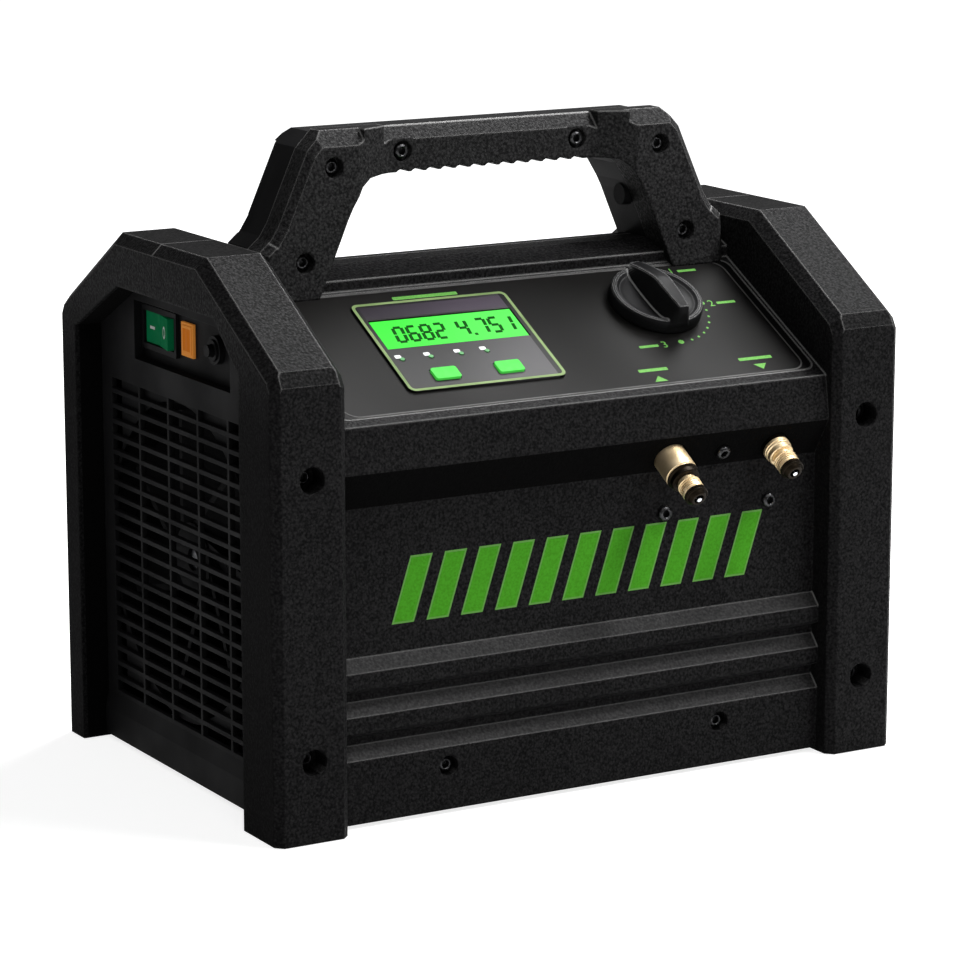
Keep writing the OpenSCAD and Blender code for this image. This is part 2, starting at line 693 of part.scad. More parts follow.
// console
panel_w = 2 * xi - 6;
panel_s0 = 6.5;
panel_top = 2.5;
panel_len = console_len - panel_top - panel_s0;
panel_mid = panel_s0 + panel_len / 2;
panel_corner = 7;
neck_r = 6;
bezel_t = 1.2;
bezel_corner = 4;
bezel_mid = bezel_s + bezel_h / 2;
window_w = bezel_w - 6;
window_h = bezel_h - 14;
window_mid = bezel_mid - 2;
glass_w = bezel_w - 9;
glass_h = 24;
glass_s = bezel_s + 48;
glass_up = 0.6;
button_w = 15;
button_h = 9;
button_s = bezel_s + 11.3;
button_xs = [bezel_x - 21, bezel_x + 17];
button_up = 1.2;
lamp_s = bezel_s + 26.5;
lamp_xs = [bezel_x - 39, bezel_x - 22, bezel_x - 4, bezel_x + 11.5];
led_r = 1.3;
led_up = 0.4;
button_corner = 1.5;
cut_h = panel_t + 5;
module console_cuts(grow) {
    on_slope(bezel_x, glass_s, -panel_t - 1) linear_extrude(cut_h)
        square([glass_w + grow, glass_h + grow], center = true);
    for (x = button_xs) on_slope(x, button_s, -panel_t - 1) linear_extrude(cut_h)
        soft_rect(button_w + grow, button_h + grow, button_corner);
    for (x = lamp_xs) on_slope(x, lamp_s, -panel_t - 1) cylinder(r = led_r + grow / 2, h = cut_h);
}
module console_panel() color(satin) difference() {
    on_slope(0, panel_mid, -panel_t) linear_extrude(panel_t)
        soft_rect(panel_w, panel_len, panel_corner - gap);
    console_cuts(2 * gap);
    on_slope(knob_x, knob_s, -panel_t - 1) cylinder(r = neck_r, h = panel_t + 2);
}
module display_bezel() color(satin) difference() {
    on_slope(bezel_x, bezel_mid, 0) linear_extrude(bezel_t) soft_rect(bezel_w, bezel_h, bezel_corner);
    console_cuts(2 * gap);
}
module display_glass() color([0.3, 0.95, 0.3]) on_slope(bezel_x, glass_s, -console_wall)
    linear_extrude(console_wall + glass_up) square([glass_w, glass_h], center = true);
board_t = 1.6;
board_over = 8;
module display_board() color([0.05, 0.3, 0.15]) on_slope(bezel_x, window_mid, -console_wall - board_t)
    linear_extrude(board_t) square([window_w + board_over, window_h + board_over], center = true);
module panel_button(x) on_slope(x, button_s, -console_wall + button_travel)
    linear_extrude(console_wall - button_travel + bezel_t + button_up)
        soft_rect(button_w, button_h, button_corner);
module button_left() color(green) panel_button(button_xs[0]);
module button_right() color(green) panel_button(button_xs[1]);
module status_lamps() color([0.9, 0.95, 0.9]) for (x = lamp_xs)
    on_slope(x, lamp_s, -console_wall) cylinder(r = led_r, h = console_wall + bezel_t + led_up);

// selector knob and spindle
knob_gap = 0.5;
skirt_h = 5;
hub_r = knob_r - 5;
hub_h = 9;
grip_w = 13;
grip_len = 2 * knob_r + 4;
end_bar = 14;
edge_bar = 4;
corner_bar = 6;
spindle_deep = 42;
spindle_top = knob_h - 5;
module knob_grip() difference() {
    translate([-grip_w / 2, -grip_len / 2, skirt_h - 2]) cube([grip_w, grip_len, knob_h - skirt_h + 2]);
    for (i = [-1, 1]) {
        translate([0, i * grip_len / 2, knob_h]) rotate([45, 0, 0])
            cube([far, end_bar, end_bar], center = true);
        translate([i * grip_w / 2, 0, knob_h]) rotate([0, 45, 0])
            cube([edge_bar, far, edge_bar], center = true);
        for (j = [-1, 1]) translate([i * grip_w / 2, j * grip_len / 2, 0]) rotate([0, 0, 45])
            cube([corner_bar, corner_bar, far], center = true);
    }
}
module knob() color(black) on_slope(knob_x, knob_s, 0) difference() {
    union() {
        rotate_extrude() polygon([[0, knob_gap], [knob_r, knob_gap], [knob_r, skirt_h], [hub_r, hub_h],
            [0, hub_h]]);
        knob_grip();
    }
    translate([0, 0, -1]) cylinder(r = spindle_r, h = spindle_top + 2);
}
module spindle() color(steel) on_slope(knob_x, knob_s, -spindle_deep)
    cylinder(r = spindle_r, h = spindle_deep + spindle_top);

// valve block, bored for the spindle and the two fittings
cartridge_r = 13;
cartridge_len = 58;
spindle_clear = 0.05;
boss_half = 20;
boss_deep = 46;
boss_low = 10;
boss_high = 4;
fit_root = fit_in + 6;
low_screw_len = 14;
mid_screw_len = 20;
module valve_block() color([0.62, 0.6, 0.55]) difference() {
    union() {
        box([block_x0, block_y0, block_z0], [block_x1, block_y1, block_z1]);
        on_slope(knob_x, knob_s, -console_wall - cartridge_len) cylinder(r = cartridge_r, h = cartridge_len);
        box([knob_x - boss_half, block_y1 - boss_low, block_z0 + boss_low],
            [knob_x + boss_half, block_y1 + boss_deep, block_z1 - boss_high]);
    }
    on_slope(knob_x, knob_s, -spindle_deep) cylinder(r = spindle_r + spindle_clear, h = spindle_deep);
    at_fitting(inlet_x) translate([0, 0, -fit_root]) cylinder(r = barrel_r + gap, h = far);
    at_fitting(outlet_x) translate([0, 0, -fit_root]) cylinder(r = collar_r + gap, h = far);
    at_fitting(manifold_mid_x) translate([0, 0, -mid_screw_len - screw_spare])
        cylinder(r = screw_hole, h = far);
    for (x = [inlet_x, outlet_x])
        rod_y(x, manifold_low_z, screw_hole, block_y0 - 1, face_y + low_screw_len + screw_spare);
}

// brass flare fittings, turned about their own axis
thread_len = 10.16;
thread_neck = 2;
bore_r = 2.6;
bore_deep = 9;
guide_r = 1;
guide_len = 3;
flare_cone = 2.2;
neck_in = 0.8;
barrel_step = 1;
collar_step = 0.6;
step_land = 3;
inlet_step = 19;
outlet_step = 9;
function fitting_end(step) = step + thread_neck + thread_len + flare_cone;
function bore_end(step) = fitting_end(step) - bore_deep;
function tip_pts(step) = [[flare_r - neck_in, step], [flare_r - neck_in, step + thread_neck],
    [flare_r, step + thread_neck], [flare_r, step + thread_neck + thread_len],
    [flare_r - flare_cone, fitting_end(step)], [bore_r, fitting_end(step)], [bore_r, bore_end(step)],
    [guide_r, bore_end(step)], [guide_r, bore_end(step) - guide_len], [bore_r, bore_end(step) - guide_len]];
function root_pts(r, c, step) = [[bore_r, -fit_root], [r, -fit_root], [r, step - step_land - c],
    [r - c, step - step_land], [r - c, step]];
module inlet_fitting() color(brass) at_fitting(inlet_x) rotate_extrude()
    polygon(concat(root_pts(barrel_r, barrel_step, inlet_step), tip_pts(inlet_step)));
module outlet_fitting() color(brass) at_fitting(outlet_x) rotate_extrude()
    polygon(concat(root_pts(collar_r, collar_step, outlet_step), tip_pts(outlet_step)));
// sprung core pin with a collar that stops it in the guide
core_r = guide_r - 0.08;
core_up = 0.6;
core_tip = 3;
core_tip_r = core_r + 0.4;
core_stop = 3;
module core_pin(step) {
    core_root = bore_end(step) - 2 * guide_len;
    translate([0, 0, core_root]) cylinder(r = core_r, h = fitting_end(step) - core_root + core_up);
    translate([0, 0, core_root]) cylinder(r = bore_r - gap, h = core_stop);
    translate([0, 0, fitting_end(step) - core_tip]) cylinder(r = core_tip_r, h = core_tip + core_up);
}
module inlet_core() color(steel) at_fitting(inlet_x) core_pin(inlet_step);
module outlet_core() color(steel) at_fitting(outlet_x) core_pin(outlet_step);
module manifold_screws() color(steel) {
    for (x = [inlet_x, outlet_x]) screw_at(x, face_y, manifold_low_z, low_screw_len);
    at_fitting(manifold_mid_x) rotate([180, 0, 0]) screw(mid_screw_len);
}
module frame_screws() color(steel) both() for (z = frame_screw_z)
    screw_at(frame_screw_x, frame_seat_y, z, frame_screw_len);
module bottom_screws() color(steel) both()
    screw_at(bottom_screw_x, bottom_seat_y, bottom_screw_z, bottom_len);
module handle_screws() color(steel) both() {
    for (p = leg_screws) screw_at(p[0], handle_front_y + leg_sink, p[1], leg_screw_len);
    screw_at(grip_screw_x, grip_front_y + grip_sink, grip_screw_z, grip_screw_len);
}

// fan, motor and compressor on one axis across the machine
fan_y = 16;
vent_low = 30;
vent_top = pocket_z - pocket_half - 14;
fan_z = (vent_low + vent_top) / 2;
fan_room = 4;
shroud_wall = 3;
shroud_len = 30;
shroud_plate = 2;
// the shroud's plate ends short of the rearmost slots and leaves the front column open
shroud_y0 = slot_y0 + col_w;
shroud_y1 = slot_y1 - 6;
shroud_r = min((vent_top - vent_low) / 2, rear_face - wall - fan_room - fan_y) - shroud_wall;
fan_r = shroud_r - fan_tip_gap;
fan_x0 = -plate_in + 6;
fan_w = 20;
fan_hub_r = 20;
blade_t = 2;
blade_a = 32;
blade_w = 40;
shaft_r = 6;
motor_x0 = fan_x0 + 50;
motor_len = 104;
motor_r = 56;
plate_z = floor_z + wall;
sheet_t = 2;
deck_top = plate_z + sheet_t;
module fan_shroud() color(black) {
    difference() {
        union() {
            rod_x(fan_y, fan_z, shroud_r + shroud_wall, -plate_in, -plate_in + shroud_len);
            box([-plate_in, shroud_y0, fan_z - shroud_r],
                [-plate_in + shroud_plate, shroud_y1, fan_z + shroud_r + shroud_wall]);
        }
        rod_x(fan_y, fan_z, shroud_r, -plate_in - 1, -plate_in + shroud_len + 1);
    }
}
module fan() color([0.12, 0.12, 0.13]) {
    difference() {
        rod_x(fan_y, fan_z, fan_hub_r, fan_x0, fan_x0 + fan_w);
        rod_x(fan_y, fan_z, shaft_r, fan_x0 - 1, fan_x0 + fan_w + 1);
    }
    difference() {
        intersection() {
            rod_x(fan_y, fan_z, fan_r, fan_x0 + 1, fan_x0 + fan_w - 1);
            translate([fan_x0 + fan_w / 2, fan_y, fan_z]) for (i = [0 : fan_blades - 1])
                rotate([i * 360 / fan_blades, 0, 0]) translate([0, 0, fan_r / 2 + fan_hub_r / 5])
                    rotate([0, 0, blade_a]) cube([blade_t, blade_w, fan_r], center = true);
        }
        rod_x(fan_y, fan_z, fan_hub_r - 1, fan_x0 - 1, fan_x0 + fan_w + 1);
    }
}
shaft_in = 60;
foot_w = 46;
collar_in = 6;
collar_out_r = 18;
foot_x0 = motor_x0 + 40;
foot_len = 44;
foot_up = fan_z - 30;
module motor_shaft() color(steel) rod_x(fan_y, fan_z, shaft_r, fan_x0 + 2, motor_x0 + shaft_in);
module motor() color([0.3, 0.31, 0.33]) difference() {
    union() {
        rod_x(fan_y, fan_z, motor_r, motor_x0, motor_x0 + motor_len);
        rod_x(fan_y, fan_z, collar_out_r, motor_x0 - collar_in, motor_x0 + 1);
        box([foot_x0, fan_y - foot_w, mount_top], [foot_x0 + foot_len, fan_y + foot_w, foot_up]);
    }
    rod_x(fan_y, fan_z, shaft_r + spindle_clear, motor_x0 - 2 * collar_in, motor_x0 + shaft_in + 2);
}
case_x0 = motor_x0 + motor_len;
case_len = 62;
case_half = 42;
case_foot = 8;
rib_in = 4;
core_in = 9;
rib_front = 26;
rib_rear = 38;
core_front = 21;
core_rear = 33;
rib_pitch = 7;
rib_t = 3;
cylinder_h = 39;
case_top = fan_z + case_half;
module crankcase() color([0.55, 0.56, 0.58]) {
    box([case_x0, fan_y - case_half, fan_z - case_half], [case_x0 + case_len, fan_y + case_half, case_top]);
    box([case_x0 + case_foot, fan_y - foot_w, mount_top],
        [case_x0 + case_len - case_foot, fan_y + foot_w, fan_z - case_half + 1]);
    for (i = [0 : 5]) box([case_x0 + rib_in, fan_y - rib_front, case_top - 1 + i * rib_pitch],
        [case_x0 + case_len - rib_in, fan_y + rib_rear, case_top + rib_t + i * rib_pitch]);
    box([case_x0 + core_in, fan_y - core_front, case_top - 1],
        [case_x0 + case_len - core_in, fan_y + core_rear, case_top + cylinder_h]);
}
head_z = case_top + cylinder_h;
cap_h = 14;
cap_w = 26;
cap_pitch = 28;
module cylinder_heads() color([0.5, 0.51, 0.53]) for (i = [0, 1])
    box([case_x0 + rib_in + i * cap_pitch, fan_y - rib_front, head_z],
        [case_x0 + rib_in + i * cap_pitch + cap_w, fan_y + rib_rear, head_z + cap_h]);
mount_r = 9;
mount_h = 10;
mount_top = deck_top + mount_h;
mount_in = 12;
mount_y = [fan_y - foot_w + mount_in, fan_y + foot_w - mount_in];
mount_x = [foot_x0 + foot_len / 2, case_x0 + case_len / 2];
module rubber_mounts() color([0.05, 0.05, 0.05]) for (x = mount_x, y = mount_y)
    translate([x, y, deck_top]) cylinder(r = mount_r, h = mount_top - deck_top);
sheet_in = 4;
module base_plate() color(steel) box([-xi + sheet_in, inner_f + sheet_in, plate_z],
    [xi - sheet_in, rear_face - wall - sheet_in, deck_top]);

// condenser: end plates, fins and tube runs
cond_x0 = xi - 36;
cond_x1 = xi - 8;
cond_y0 = -52;
cond_y1 = rear_face - wall - 8;
cond_top = frame_h - 84;
fin_pitch = 8;
tube_r = 5;
tube_rows = 7;
end_t = 2;
fin_t = 0.6;
fin_in = 2;
fin_low = 6;
fin_high = 4;
tube_end = 20;
cond_mid = (cond_x0 + cond_x1) / 2;
tube_pitch = (cond_top - deck_top - 2 * tube_end) / (tube_rows - 1);
module condenser() color([0.7, 0.45, 0.3]) {
    for (y = [cond_y0, cond_y1 - end_t]) box([cond_x0, y, deck_top], [cond_x1, y + end_t, cond_top]);
    for (y = [cond_y0 + fin_pitch : fin_pitch : cond_y1 - fin_pitch])
        box([cond_x0 + fin_in, y, deck_top + fin_low], [cond_x1 - fin_in, y + fin_t, cond_top - fin_high]);
    for (i = [0 : tube_rows - 1])
        rod_y(cond_mid, deck_top + tube_end + i * tube_pitch, tube_r, cond_y0, cond_y1);
}
// copper pipes made of straight runs with round corners
pipe_r = 4;
module pipe(pts) {
    for (i = [0 : len(pts) - 2]) {
        d = pts[i + 1] - pts[i];
        translate(pts[i]) rotate([0, acos(d[2] / norm(d)), atan2(d[1], d[0])])
            cylinder(r = pipe_r, h = norm(d));
    }
    for (i = [1 : len(pts) - 2]) translate(pts[i]) sphere(r = pipe_r);
}
pipe_z = head_z + 30;
suct_x = case_x0 + 17;
suct_y = block_y0 + 18;
suct_z = block_z0 + 12;
disch_x = case_x0 + 45;
disch_y = fan_y + 20;
module suction_pipe() color([0.75, 0.45, 0.25])
    pipe([[block_x0, suct_y, suct_z], [suct_x, suct_y, suct_z], [suct_x, fan_y - case_half, suct_z]]);
module discharge_pipe() color([0.75, 0.45, 0.25])
    pipe([[disch_x, disch_y, head_z + cap_h], [disch_x, disch_y, pipe_z],
    [cond_mid, disch_y, pipe_z], [cond_mid, disch_y, cond_top - fin_high]]);

// control board on the rear wall
ctrl_x0 = -xi + 38;
ctrl_x1 = ctrl_x0 + 90;
ctrl_z1 = rear_edge_z - 14;
ctrl_z0 = ctrl_z1 - 80;
ctrl_in = 6;
post_r = 3;
post_len = 6.4;
chip_in = 14;
chip_w = 16;
chip_pitch = 24;
chip_x = ctrl_x0 + chip_in;
chip_d = 12;
chip_z = ctrl_z0 + 16;
chip_tall = 18;
ctrl_back = rear_face - wall;
module control_board() color([0.05, 0.3, 0.15]) {
    box([ctrl_x0, ctrl_back - post_len - board_t, ctrl_z0], [ctrl_x1, ctrl_back - post_len, ctrl_z1]);
    for (x = [ctrl_x0 + ctrl_in, ctrl_x1 - ctrl_in], z = [ctrl_z0 + ctrl_in, ctrl_z1 - ctrl_in])
        rod_y(x, z, post_r, ctrl_back - post_len - board_t / 2, ctrl_back);
    for (i = [0 : 2]) box([chip_x + i * chip_pitch, ctrl_back - post_len - board_t - chip_d, chip_z],
        [chip_x + i * chip_pitch + chip_w, ctrl_back - post_len - board_t / 2, chip_z + chip_tall]);
}

housing_front();
housing_rear();
handle_front();
handle_rear();
grille_left();
grille_right();
console_panel();
display_bezel();
display_glass();
display_board();
button_left();
button_right();
status_lamps();
knob();
spindle();
valve_block();
inlet_fitting();
outlet_fitting();
inlet_core();
outlet_core();
manifold_screws();
frame_screws();
bottom_screws();
handle_screws();
rocker_frame();
rocker();
lamp_lens();
breaker_body();
breaker_nut();
breaker_button();
power_inlet();
inlet_pins();
fan_shroud();
fan();
motor_shaft();
motor();
crankcase();
cylinder_heads();
condenser();
suction_pipe();
discharge_pipe();
control_board();
base_plate();
rubber_mounts();
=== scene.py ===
# %% [markdown]
# # A portable refrigerant recovery machine
# The shell, the handle, the console and the working parts come from the packed CAD frame.
# This lesson dresses that frame: it lights it, gives every part a procedural finish, and adds
# the small things that a CAD model leaves out, such as threads, printed marks and display digits.

# %% Load the frame and keep its box
import math
import bmesh
import bpy
from mathutils import Matrix, Vector


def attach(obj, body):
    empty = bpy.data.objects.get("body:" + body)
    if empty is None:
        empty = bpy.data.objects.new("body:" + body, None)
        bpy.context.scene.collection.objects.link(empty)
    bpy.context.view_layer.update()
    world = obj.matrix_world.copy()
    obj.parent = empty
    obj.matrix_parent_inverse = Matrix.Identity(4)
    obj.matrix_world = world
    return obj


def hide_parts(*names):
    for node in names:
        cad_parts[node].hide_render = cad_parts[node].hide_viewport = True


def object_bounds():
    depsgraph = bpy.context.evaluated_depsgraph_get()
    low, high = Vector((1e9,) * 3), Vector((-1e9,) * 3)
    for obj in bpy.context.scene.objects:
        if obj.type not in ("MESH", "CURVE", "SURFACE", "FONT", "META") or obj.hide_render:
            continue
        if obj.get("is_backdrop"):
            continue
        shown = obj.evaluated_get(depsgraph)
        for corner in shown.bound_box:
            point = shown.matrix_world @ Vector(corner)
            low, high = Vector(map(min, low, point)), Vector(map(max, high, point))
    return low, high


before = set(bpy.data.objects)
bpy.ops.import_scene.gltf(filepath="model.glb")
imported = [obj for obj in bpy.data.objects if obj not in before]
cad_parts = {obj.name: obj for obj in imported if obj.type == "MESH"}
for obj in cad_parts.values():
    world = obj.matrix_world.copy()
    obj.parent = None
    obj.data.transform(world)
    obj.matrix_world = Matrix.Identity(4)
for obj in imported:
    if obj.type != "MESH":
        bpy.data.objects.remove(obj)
cad_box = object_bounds()
scene = bpy.context.scene
scene.view_settings.view_transform = "Standard"

# %% [markdown]
# ## Places that several steps share
# The CAD is drawn in millimetres and the scene in metres. Places on the housing that more than one
# step needs are named once, in millimetres, and scaled where they are used. The two ports stand
# on a strip of the front that leans back, and point forward and down.

# %% Name the shared places
MM = 0.001
FRONT_Y = -110
FRAME_SCREW_X, FRAME_SCREW_Z = 168.5, (42.5, 188)
BOTTOM_SCREW_X, BOTTOM_SCREW_Z = 84, 25.5
HANDLE_LEG_SCREWS = ((100.5, 328), (118, 279))
HANDLE_GRIP_SCREW = (54, 332.5)
INLET_X, OUTLET_X = 51, 117.5
PORTS_MIDDLE = (INLET_X + OUTLET_X) / 2
PORT_TILT = 31
STRIP_HEIGHT, STRIP_SHARE = 21, 0.4
PORT_Y = FRONT_Y - STRIP_HEIGHT * math.tan(math.radians(PORT_TILT)) * STRIP_SHARE
PORT_Z = 174.4
PORT_OUT = (0, -math.cos(math.radians(PORT_TILT)), -math.sin(math.radians(PORT_TILT)))
print("ports at x", INLET_X, OUTLET_X, "y", round(PORT_Y, 2), "z", PORT_Z)

# %% [markdown]
# ## The camera
# The photograph was taken with a long lens from the front left, a little above the console.
# A camera could be set by eye; this one was fitted to corner points of the housing, so the same
# corners land on the same pixels and the two pictures can be laid over each other.

# %% Place the camera
camera = bpy.data.objects.new("camera", bpy.data.cameras.new("camera"))
scene.collection.objects.link(camera)
camera.location = (-1.0295, -1.7766, 0.5906)
camera.rotation_euler = (math.radians(77.79), 0, math.radians(-30.14))
camera.data.sensor_width = 36
camera.data.lens = 143.7
scene.camera = camera
print("camera", [round(v, 3) for v in camera.location], "lens", camera.data.lens)

# %% [markdown]
# ## Shader maths as Python expressions
# A node tree is easier to read as a formula than as a pile of links. One small class wraps a
# socket: its operators add Math nodes, and one method makes any other node. The reflected
# operators let a plain number stand on the left, as in `1 - mask`. The same class also builds
# the Geometry Nodes trees further down.

# %% Wrap a socket
class Field:
    def __init__(self, tree, socket=None):
        self.tree = tree
        self.socket = socket

    def node(self, kind, settings=None, inputs=None, output=0):
        made = self.tree.nodes.new(kind)
        for name, value in (settings or {}).items():
            setattr(made, name, value)
        for name, value in (inputs or {}).items():
            if isinstance(value, Field):
                self.tree.links.new(value.socket, made.inputs[name])
            else:
                made.inputs[name].default_value = value
        return Field(self.tree, made.outputs[output] if len(made.outputs) else None)

    def math(self, operation, a, b=0.0):
        return self.node("ShaderNodeMath", {"operation": operation}, {0: a, 1: b})

    def __add__(self, other):
        return self.math("ADD", self, other)

    def __radd__(self, other):
        return self.math("ADD", other, self)

    def __sub__(self, other):
        return self.math("SUBTRACT", self, other)

    def __rsub__(self, other):
        return self.math("SUBTRACT", other, self)

    def __mul__(self, other):
        return self.math("MULTIPLY", self, other)

    def __rmul__(self, other):
        return self.math("MULTIPLY", other, self)

    def __gt__(self, other):
        return self.math("GREATER_THAN", self, other)

    def __lt__(self, other):
        return self.math("LESS_THAN", self, other)

    def size(self):
        return self.math("ABSOLUTE", self)

    def capped(self):
        return self.math("MINIMUM", self, 1.0)

    def band(self, low, high):
        return (self > low) * (self < high)

    def span(self, low_mm, high_mm):
        return self.band(low_mm * MM, high_mm * MM)

    def ramp(self, low, high, start=0.0, end=1.0):
        return self.node("ShaderNodeMapRange", {"interpolation_type": "SMOOTHSTEP"},
                         {"Value": self, "From Min": low, "From Max": high,
                          "To Min": start, "To Max": end})

    def tint(self, first, second):
        return self.node("ShaderNodeMix", {"data_type": "RGBA"}, {0: self, 6: first, 7: second}, 2)

    def part(self, axis):
        return self.node("ShaderNodeSeparateXYZ", None, {0: self}, axis)

    def along(self, direction):
        return self.node("ShaderNodeVectorMath", {"operation": "DOT_PRODUCT"},
                         {0: self, 1: direction}, 1)


print("operators:", [name for name in vars(Field) if name.startswith("__") and name != "__init__"])

# %% [markdown]
# ## A white studio
# The object stands on white paper under a dim ceiling. The world is pure white to the camera, and
# reflections and clear parts see that white up to the height of a backdrop, but it gives only a
# modest light to surfaces, so blacks stay black. The floor glows to the same rays: where it is lit
# it reaches white, further away it turns white by itself, and the soft contact shadow stays.

# %% Build the world and the floor
WHITE = (1, 1, 1, 1)
AMBIENT = 0.2
GLOW_NEAR = 0.8


def empty_tree(owner):
    owner.use_nodes = True
    owner.node_tree.nodes.clear()
    return Field(owner.node_tree)


def ray_kinds(start):
    kinds = ("Is Camera Ray", "Is Glossy Ray", "Is Transmission Ray")
    return [start.node("ShaderNodeLightPath", output=kind) for kind in kinds]


world = bpy.data.worlds.new("studio")
scene.world = world
sky = empty_tree(world)
to_camera, to_gloss, to_clear = ray_kinds(sky)
backdrop = sky.node("ShaderNodeTexCoord", output="Generated").part(2).ramp(-0.02, 0.08, 1.0, 0.0)
seen = (to_camera + (to_gloss + to_clear) * backdrop).capped()
glow = sky.node("ShaderNodeBackground", None,
                {"Color": WHITE, "Strength": AMBIENT + seen * (1 - AMBIENT)})
sky.node("ShaderNodeOutputWorld", None, {"Surface": glow})

floor_mesh = bpy.data.meshes.new("floor")
floor_mesh.from_pydata([(-6, -4, 0), (6, -4, 0), (6, 9, 0), (-6, 9, 0)], [], [(0, 1, 2, 3)])
floor = bpy.data.objects.new("floor", floor_mesh)
floor.location.z = -0.0005
scene.collection.objects.link(floor)
floor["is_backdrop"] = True
floor_look = bpy.data.materials.new("floor_white")
paper = empty_tree(floor_look)
to_camera, to_gloss, to_clear = ray_kinds(paper)
shown = (to_camera + to_gloss + to_clear).capped()
spot = paper.node("ShaderNodeTexCoord", output="Object")
away = paper.node("ShaderNodeVectorMath", {"operation": "LENGTH"}, {0: spot}, 1)
matt = paper.node("ShaderNodeBsdfDiffuse", None, {"Color": (0.5, 0.5, 0.5, 1)})
lift = paper.node("ShaderNodeEmission", None,
                  {"Color": WHITE, "Strength": shown * away.ramp(0.5, 2.2, GLOW_NEAR, 1.0)})
lit_paper = paper.node("ShaderNodeAddShader", None, {0: matt, 1: lift})
paper.node("ShaderNodeOutputMaterial", None, {"Surface": lit_paper})
floor_mesh.materials.append(floor_look)
print("ambient", AMBIENT, "floor glow", GLOW_NEAR)

# %% [markdown]
# ## Soft lamps
# The brightest faces in the photograph are the slopes that look up and forward, while tops and
# upright faces stay dark. A black moulding does that when it mirrors a lamp: the sheen lamp hangs
# above and behind, where the slopes send the camera's line of sight; the ledge lamp does the same
# for the steeper ledges of the front, and the lip lamp for the cut corners. A wide key lamp in
# front fills the uprights a little.

# %% Hang the lamps
def hang_lamp(name, place, target, size, power):
    lamp = bpy.data.lights.new(name, "AREA")
    lamp.shape = "DISK"
    lamp.size = size
    lamp.energy = power
    hung = bpy.data.objects.new(name, lamp)
    hung.location = place
    hung.rotation_euler = (Vector(target) - Vector(place)).to_track_quat("-Z", "Y").to_euler()
    scene.collection.objects.link(hung)


hang_lamp("key", (-0.7, -1.3, 2.0), (0, -0.05, 0.2), size=1.1, power=11)
hang_lamp("sheen", (0.85, 0.45, 1.65), (0, -0.07, 0.24), size=0.9, power=56)
hang_lamp("ledge", (0.95, -0.5, 1.65), (0, -0.11, 0.1), size=0.5, power=34)
hang_lamp("lip", (0.9, -1.25, 1.45), (0, -0.11, 0.2), size=0.5, power=16)

# %% [markdown]
# ## Starting a finish
# Every finish starts the same way: a Principled shader that reads the object's own coordinates,
# so the pattern stays on the part. A Bevel node rounds the shading at sharp edges, which is where
# real mouldings catch a thin line of light, without touching the CAD mesh. Where the rounded
# normal leaves the flat one there is an edge; the two together also mask painted edge highlights.

# %% Helpers for finishes
class Finish:
    def __init__(self, name, constants=None):
        self.material = bpy.data.materials.new(name)
        self.material.use_nodes = True
        self.tree = self.material.node_tree
        self.shader = self.tree.nodes["Principled BSDF"]
        self.start = Field(self.tree)
        self.place = self.start.node("ShaderNodeTexCoord", output="Object")
        for socket, value in (constants or {}).items():
            self.shader.inputs[socket].default_value = value

    def feed(self, socket, value):
        self.tree.links.new(value.socket, self.shader.inputs[socket])

    def noise(self, size, detail=2.0, roughness=0.5):
        return self.start.node("ShaderNodeTexNoise", None,
                               {"Vector": self.place, "Scale": 1 / size, "Detail": detail,
                                "Roughness": roughness}, "Fac")

    def cells(self, size):
        return self.start.node("ShaderNodeTexVoronoi", None,
                               {"Vector": self.place, "Scale": 1 / size}, "Distance")

    def flat(self):
        return self.start.node("ShaderNodeNewGeometry", output="True Normal")

    def edge(self, radius):
        return self.start.node("ShaderNodeBevel", {"samples": 6}, {"Radius": radius})

    def edge_highlight_mask(self, soft, low, high):
        return (1 - soft.along(self.flat())).ramp(low, high)

    def bump(self, height, strength, distance, normal):
        return self.start.node("ShaderNodeBump", None,
                               {"Height": height, "Strength": strength, "Distance": distance,
                                "Normal": normal})


def dress(finish, *nodes):
    for name in nodes:
        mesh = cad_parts[name].data
        mesh.materials.clear()
        mesh.materials.append(finish.material)
    print(finish.material.name, "on", ", ".join(nodes))


print("finish helpers ready")

# %% [markdown]
# ## The textured shell
# The shell is a thick black moulding with a coarse spark-eroded grain: specks a little over a
# millimetre wide that catch the light one by one. A cell pattern gives the separate specks and a
# fine noise breaks them up; both feed the colour a little, and the bump more. Sharp edges that
# look up get a painted highlight, except round the screw cups. The undercut below the band and the
# inside of the hoops get painted shade, and the outer sides and tops of the hoops a weaker painted
# shade. The up-facing ledges of the front get a painted highlight. All limits are in millimetres.

# %% Mould the shell
CUPS = [(FRAME_SCREW_X, z, 11) for z in FRAME_SCREW_Z] + [(BOTTOM_SCREW_X, BOTTOM_SCREW_Z, 9)]
CUPS += [(x, z, 9) for x, z in (*HANDLE_LEG_SCREWS, HANDLE_GRIP_SCREW)]
UNDERCUT_Z, UNDERCUT_Y, UNDERCUT_X = (166.5, 186.5), -109.8, 147.5
HOOP_X, HOOP_Y, HOOP_Z = (174.6, 187.5), (-90.8, 107.8), 262.8
FRONT_PITCH, FRONT_LIMIT = 0.59, 298
REAR_PITCH, REAR_LIMIT = 0.625, 306
SIDE_FADE = (200, 270)
CROWN_Z = 285
LEDGE_Z, LEDGE_Y = 110, -105
EDGE_HIGHLIGHT_GREY = (0.2, 0.198, 0.196, 1)
LEDGE_HIGHLIGHT_GREY = (0.05, 0.0495, 0.0495, 1)
SHADE_BLACK = (0.0022, 0.0022, 0.0022, 1)


def cup_mask(wide, z):
    squares = [(wide - x * MM, z - cup_z * MM, (r * MM) ** 2) for x, cup_z, r in CUPS]
    return sum(a * a + b * b < limit for a, b, limit in squares)
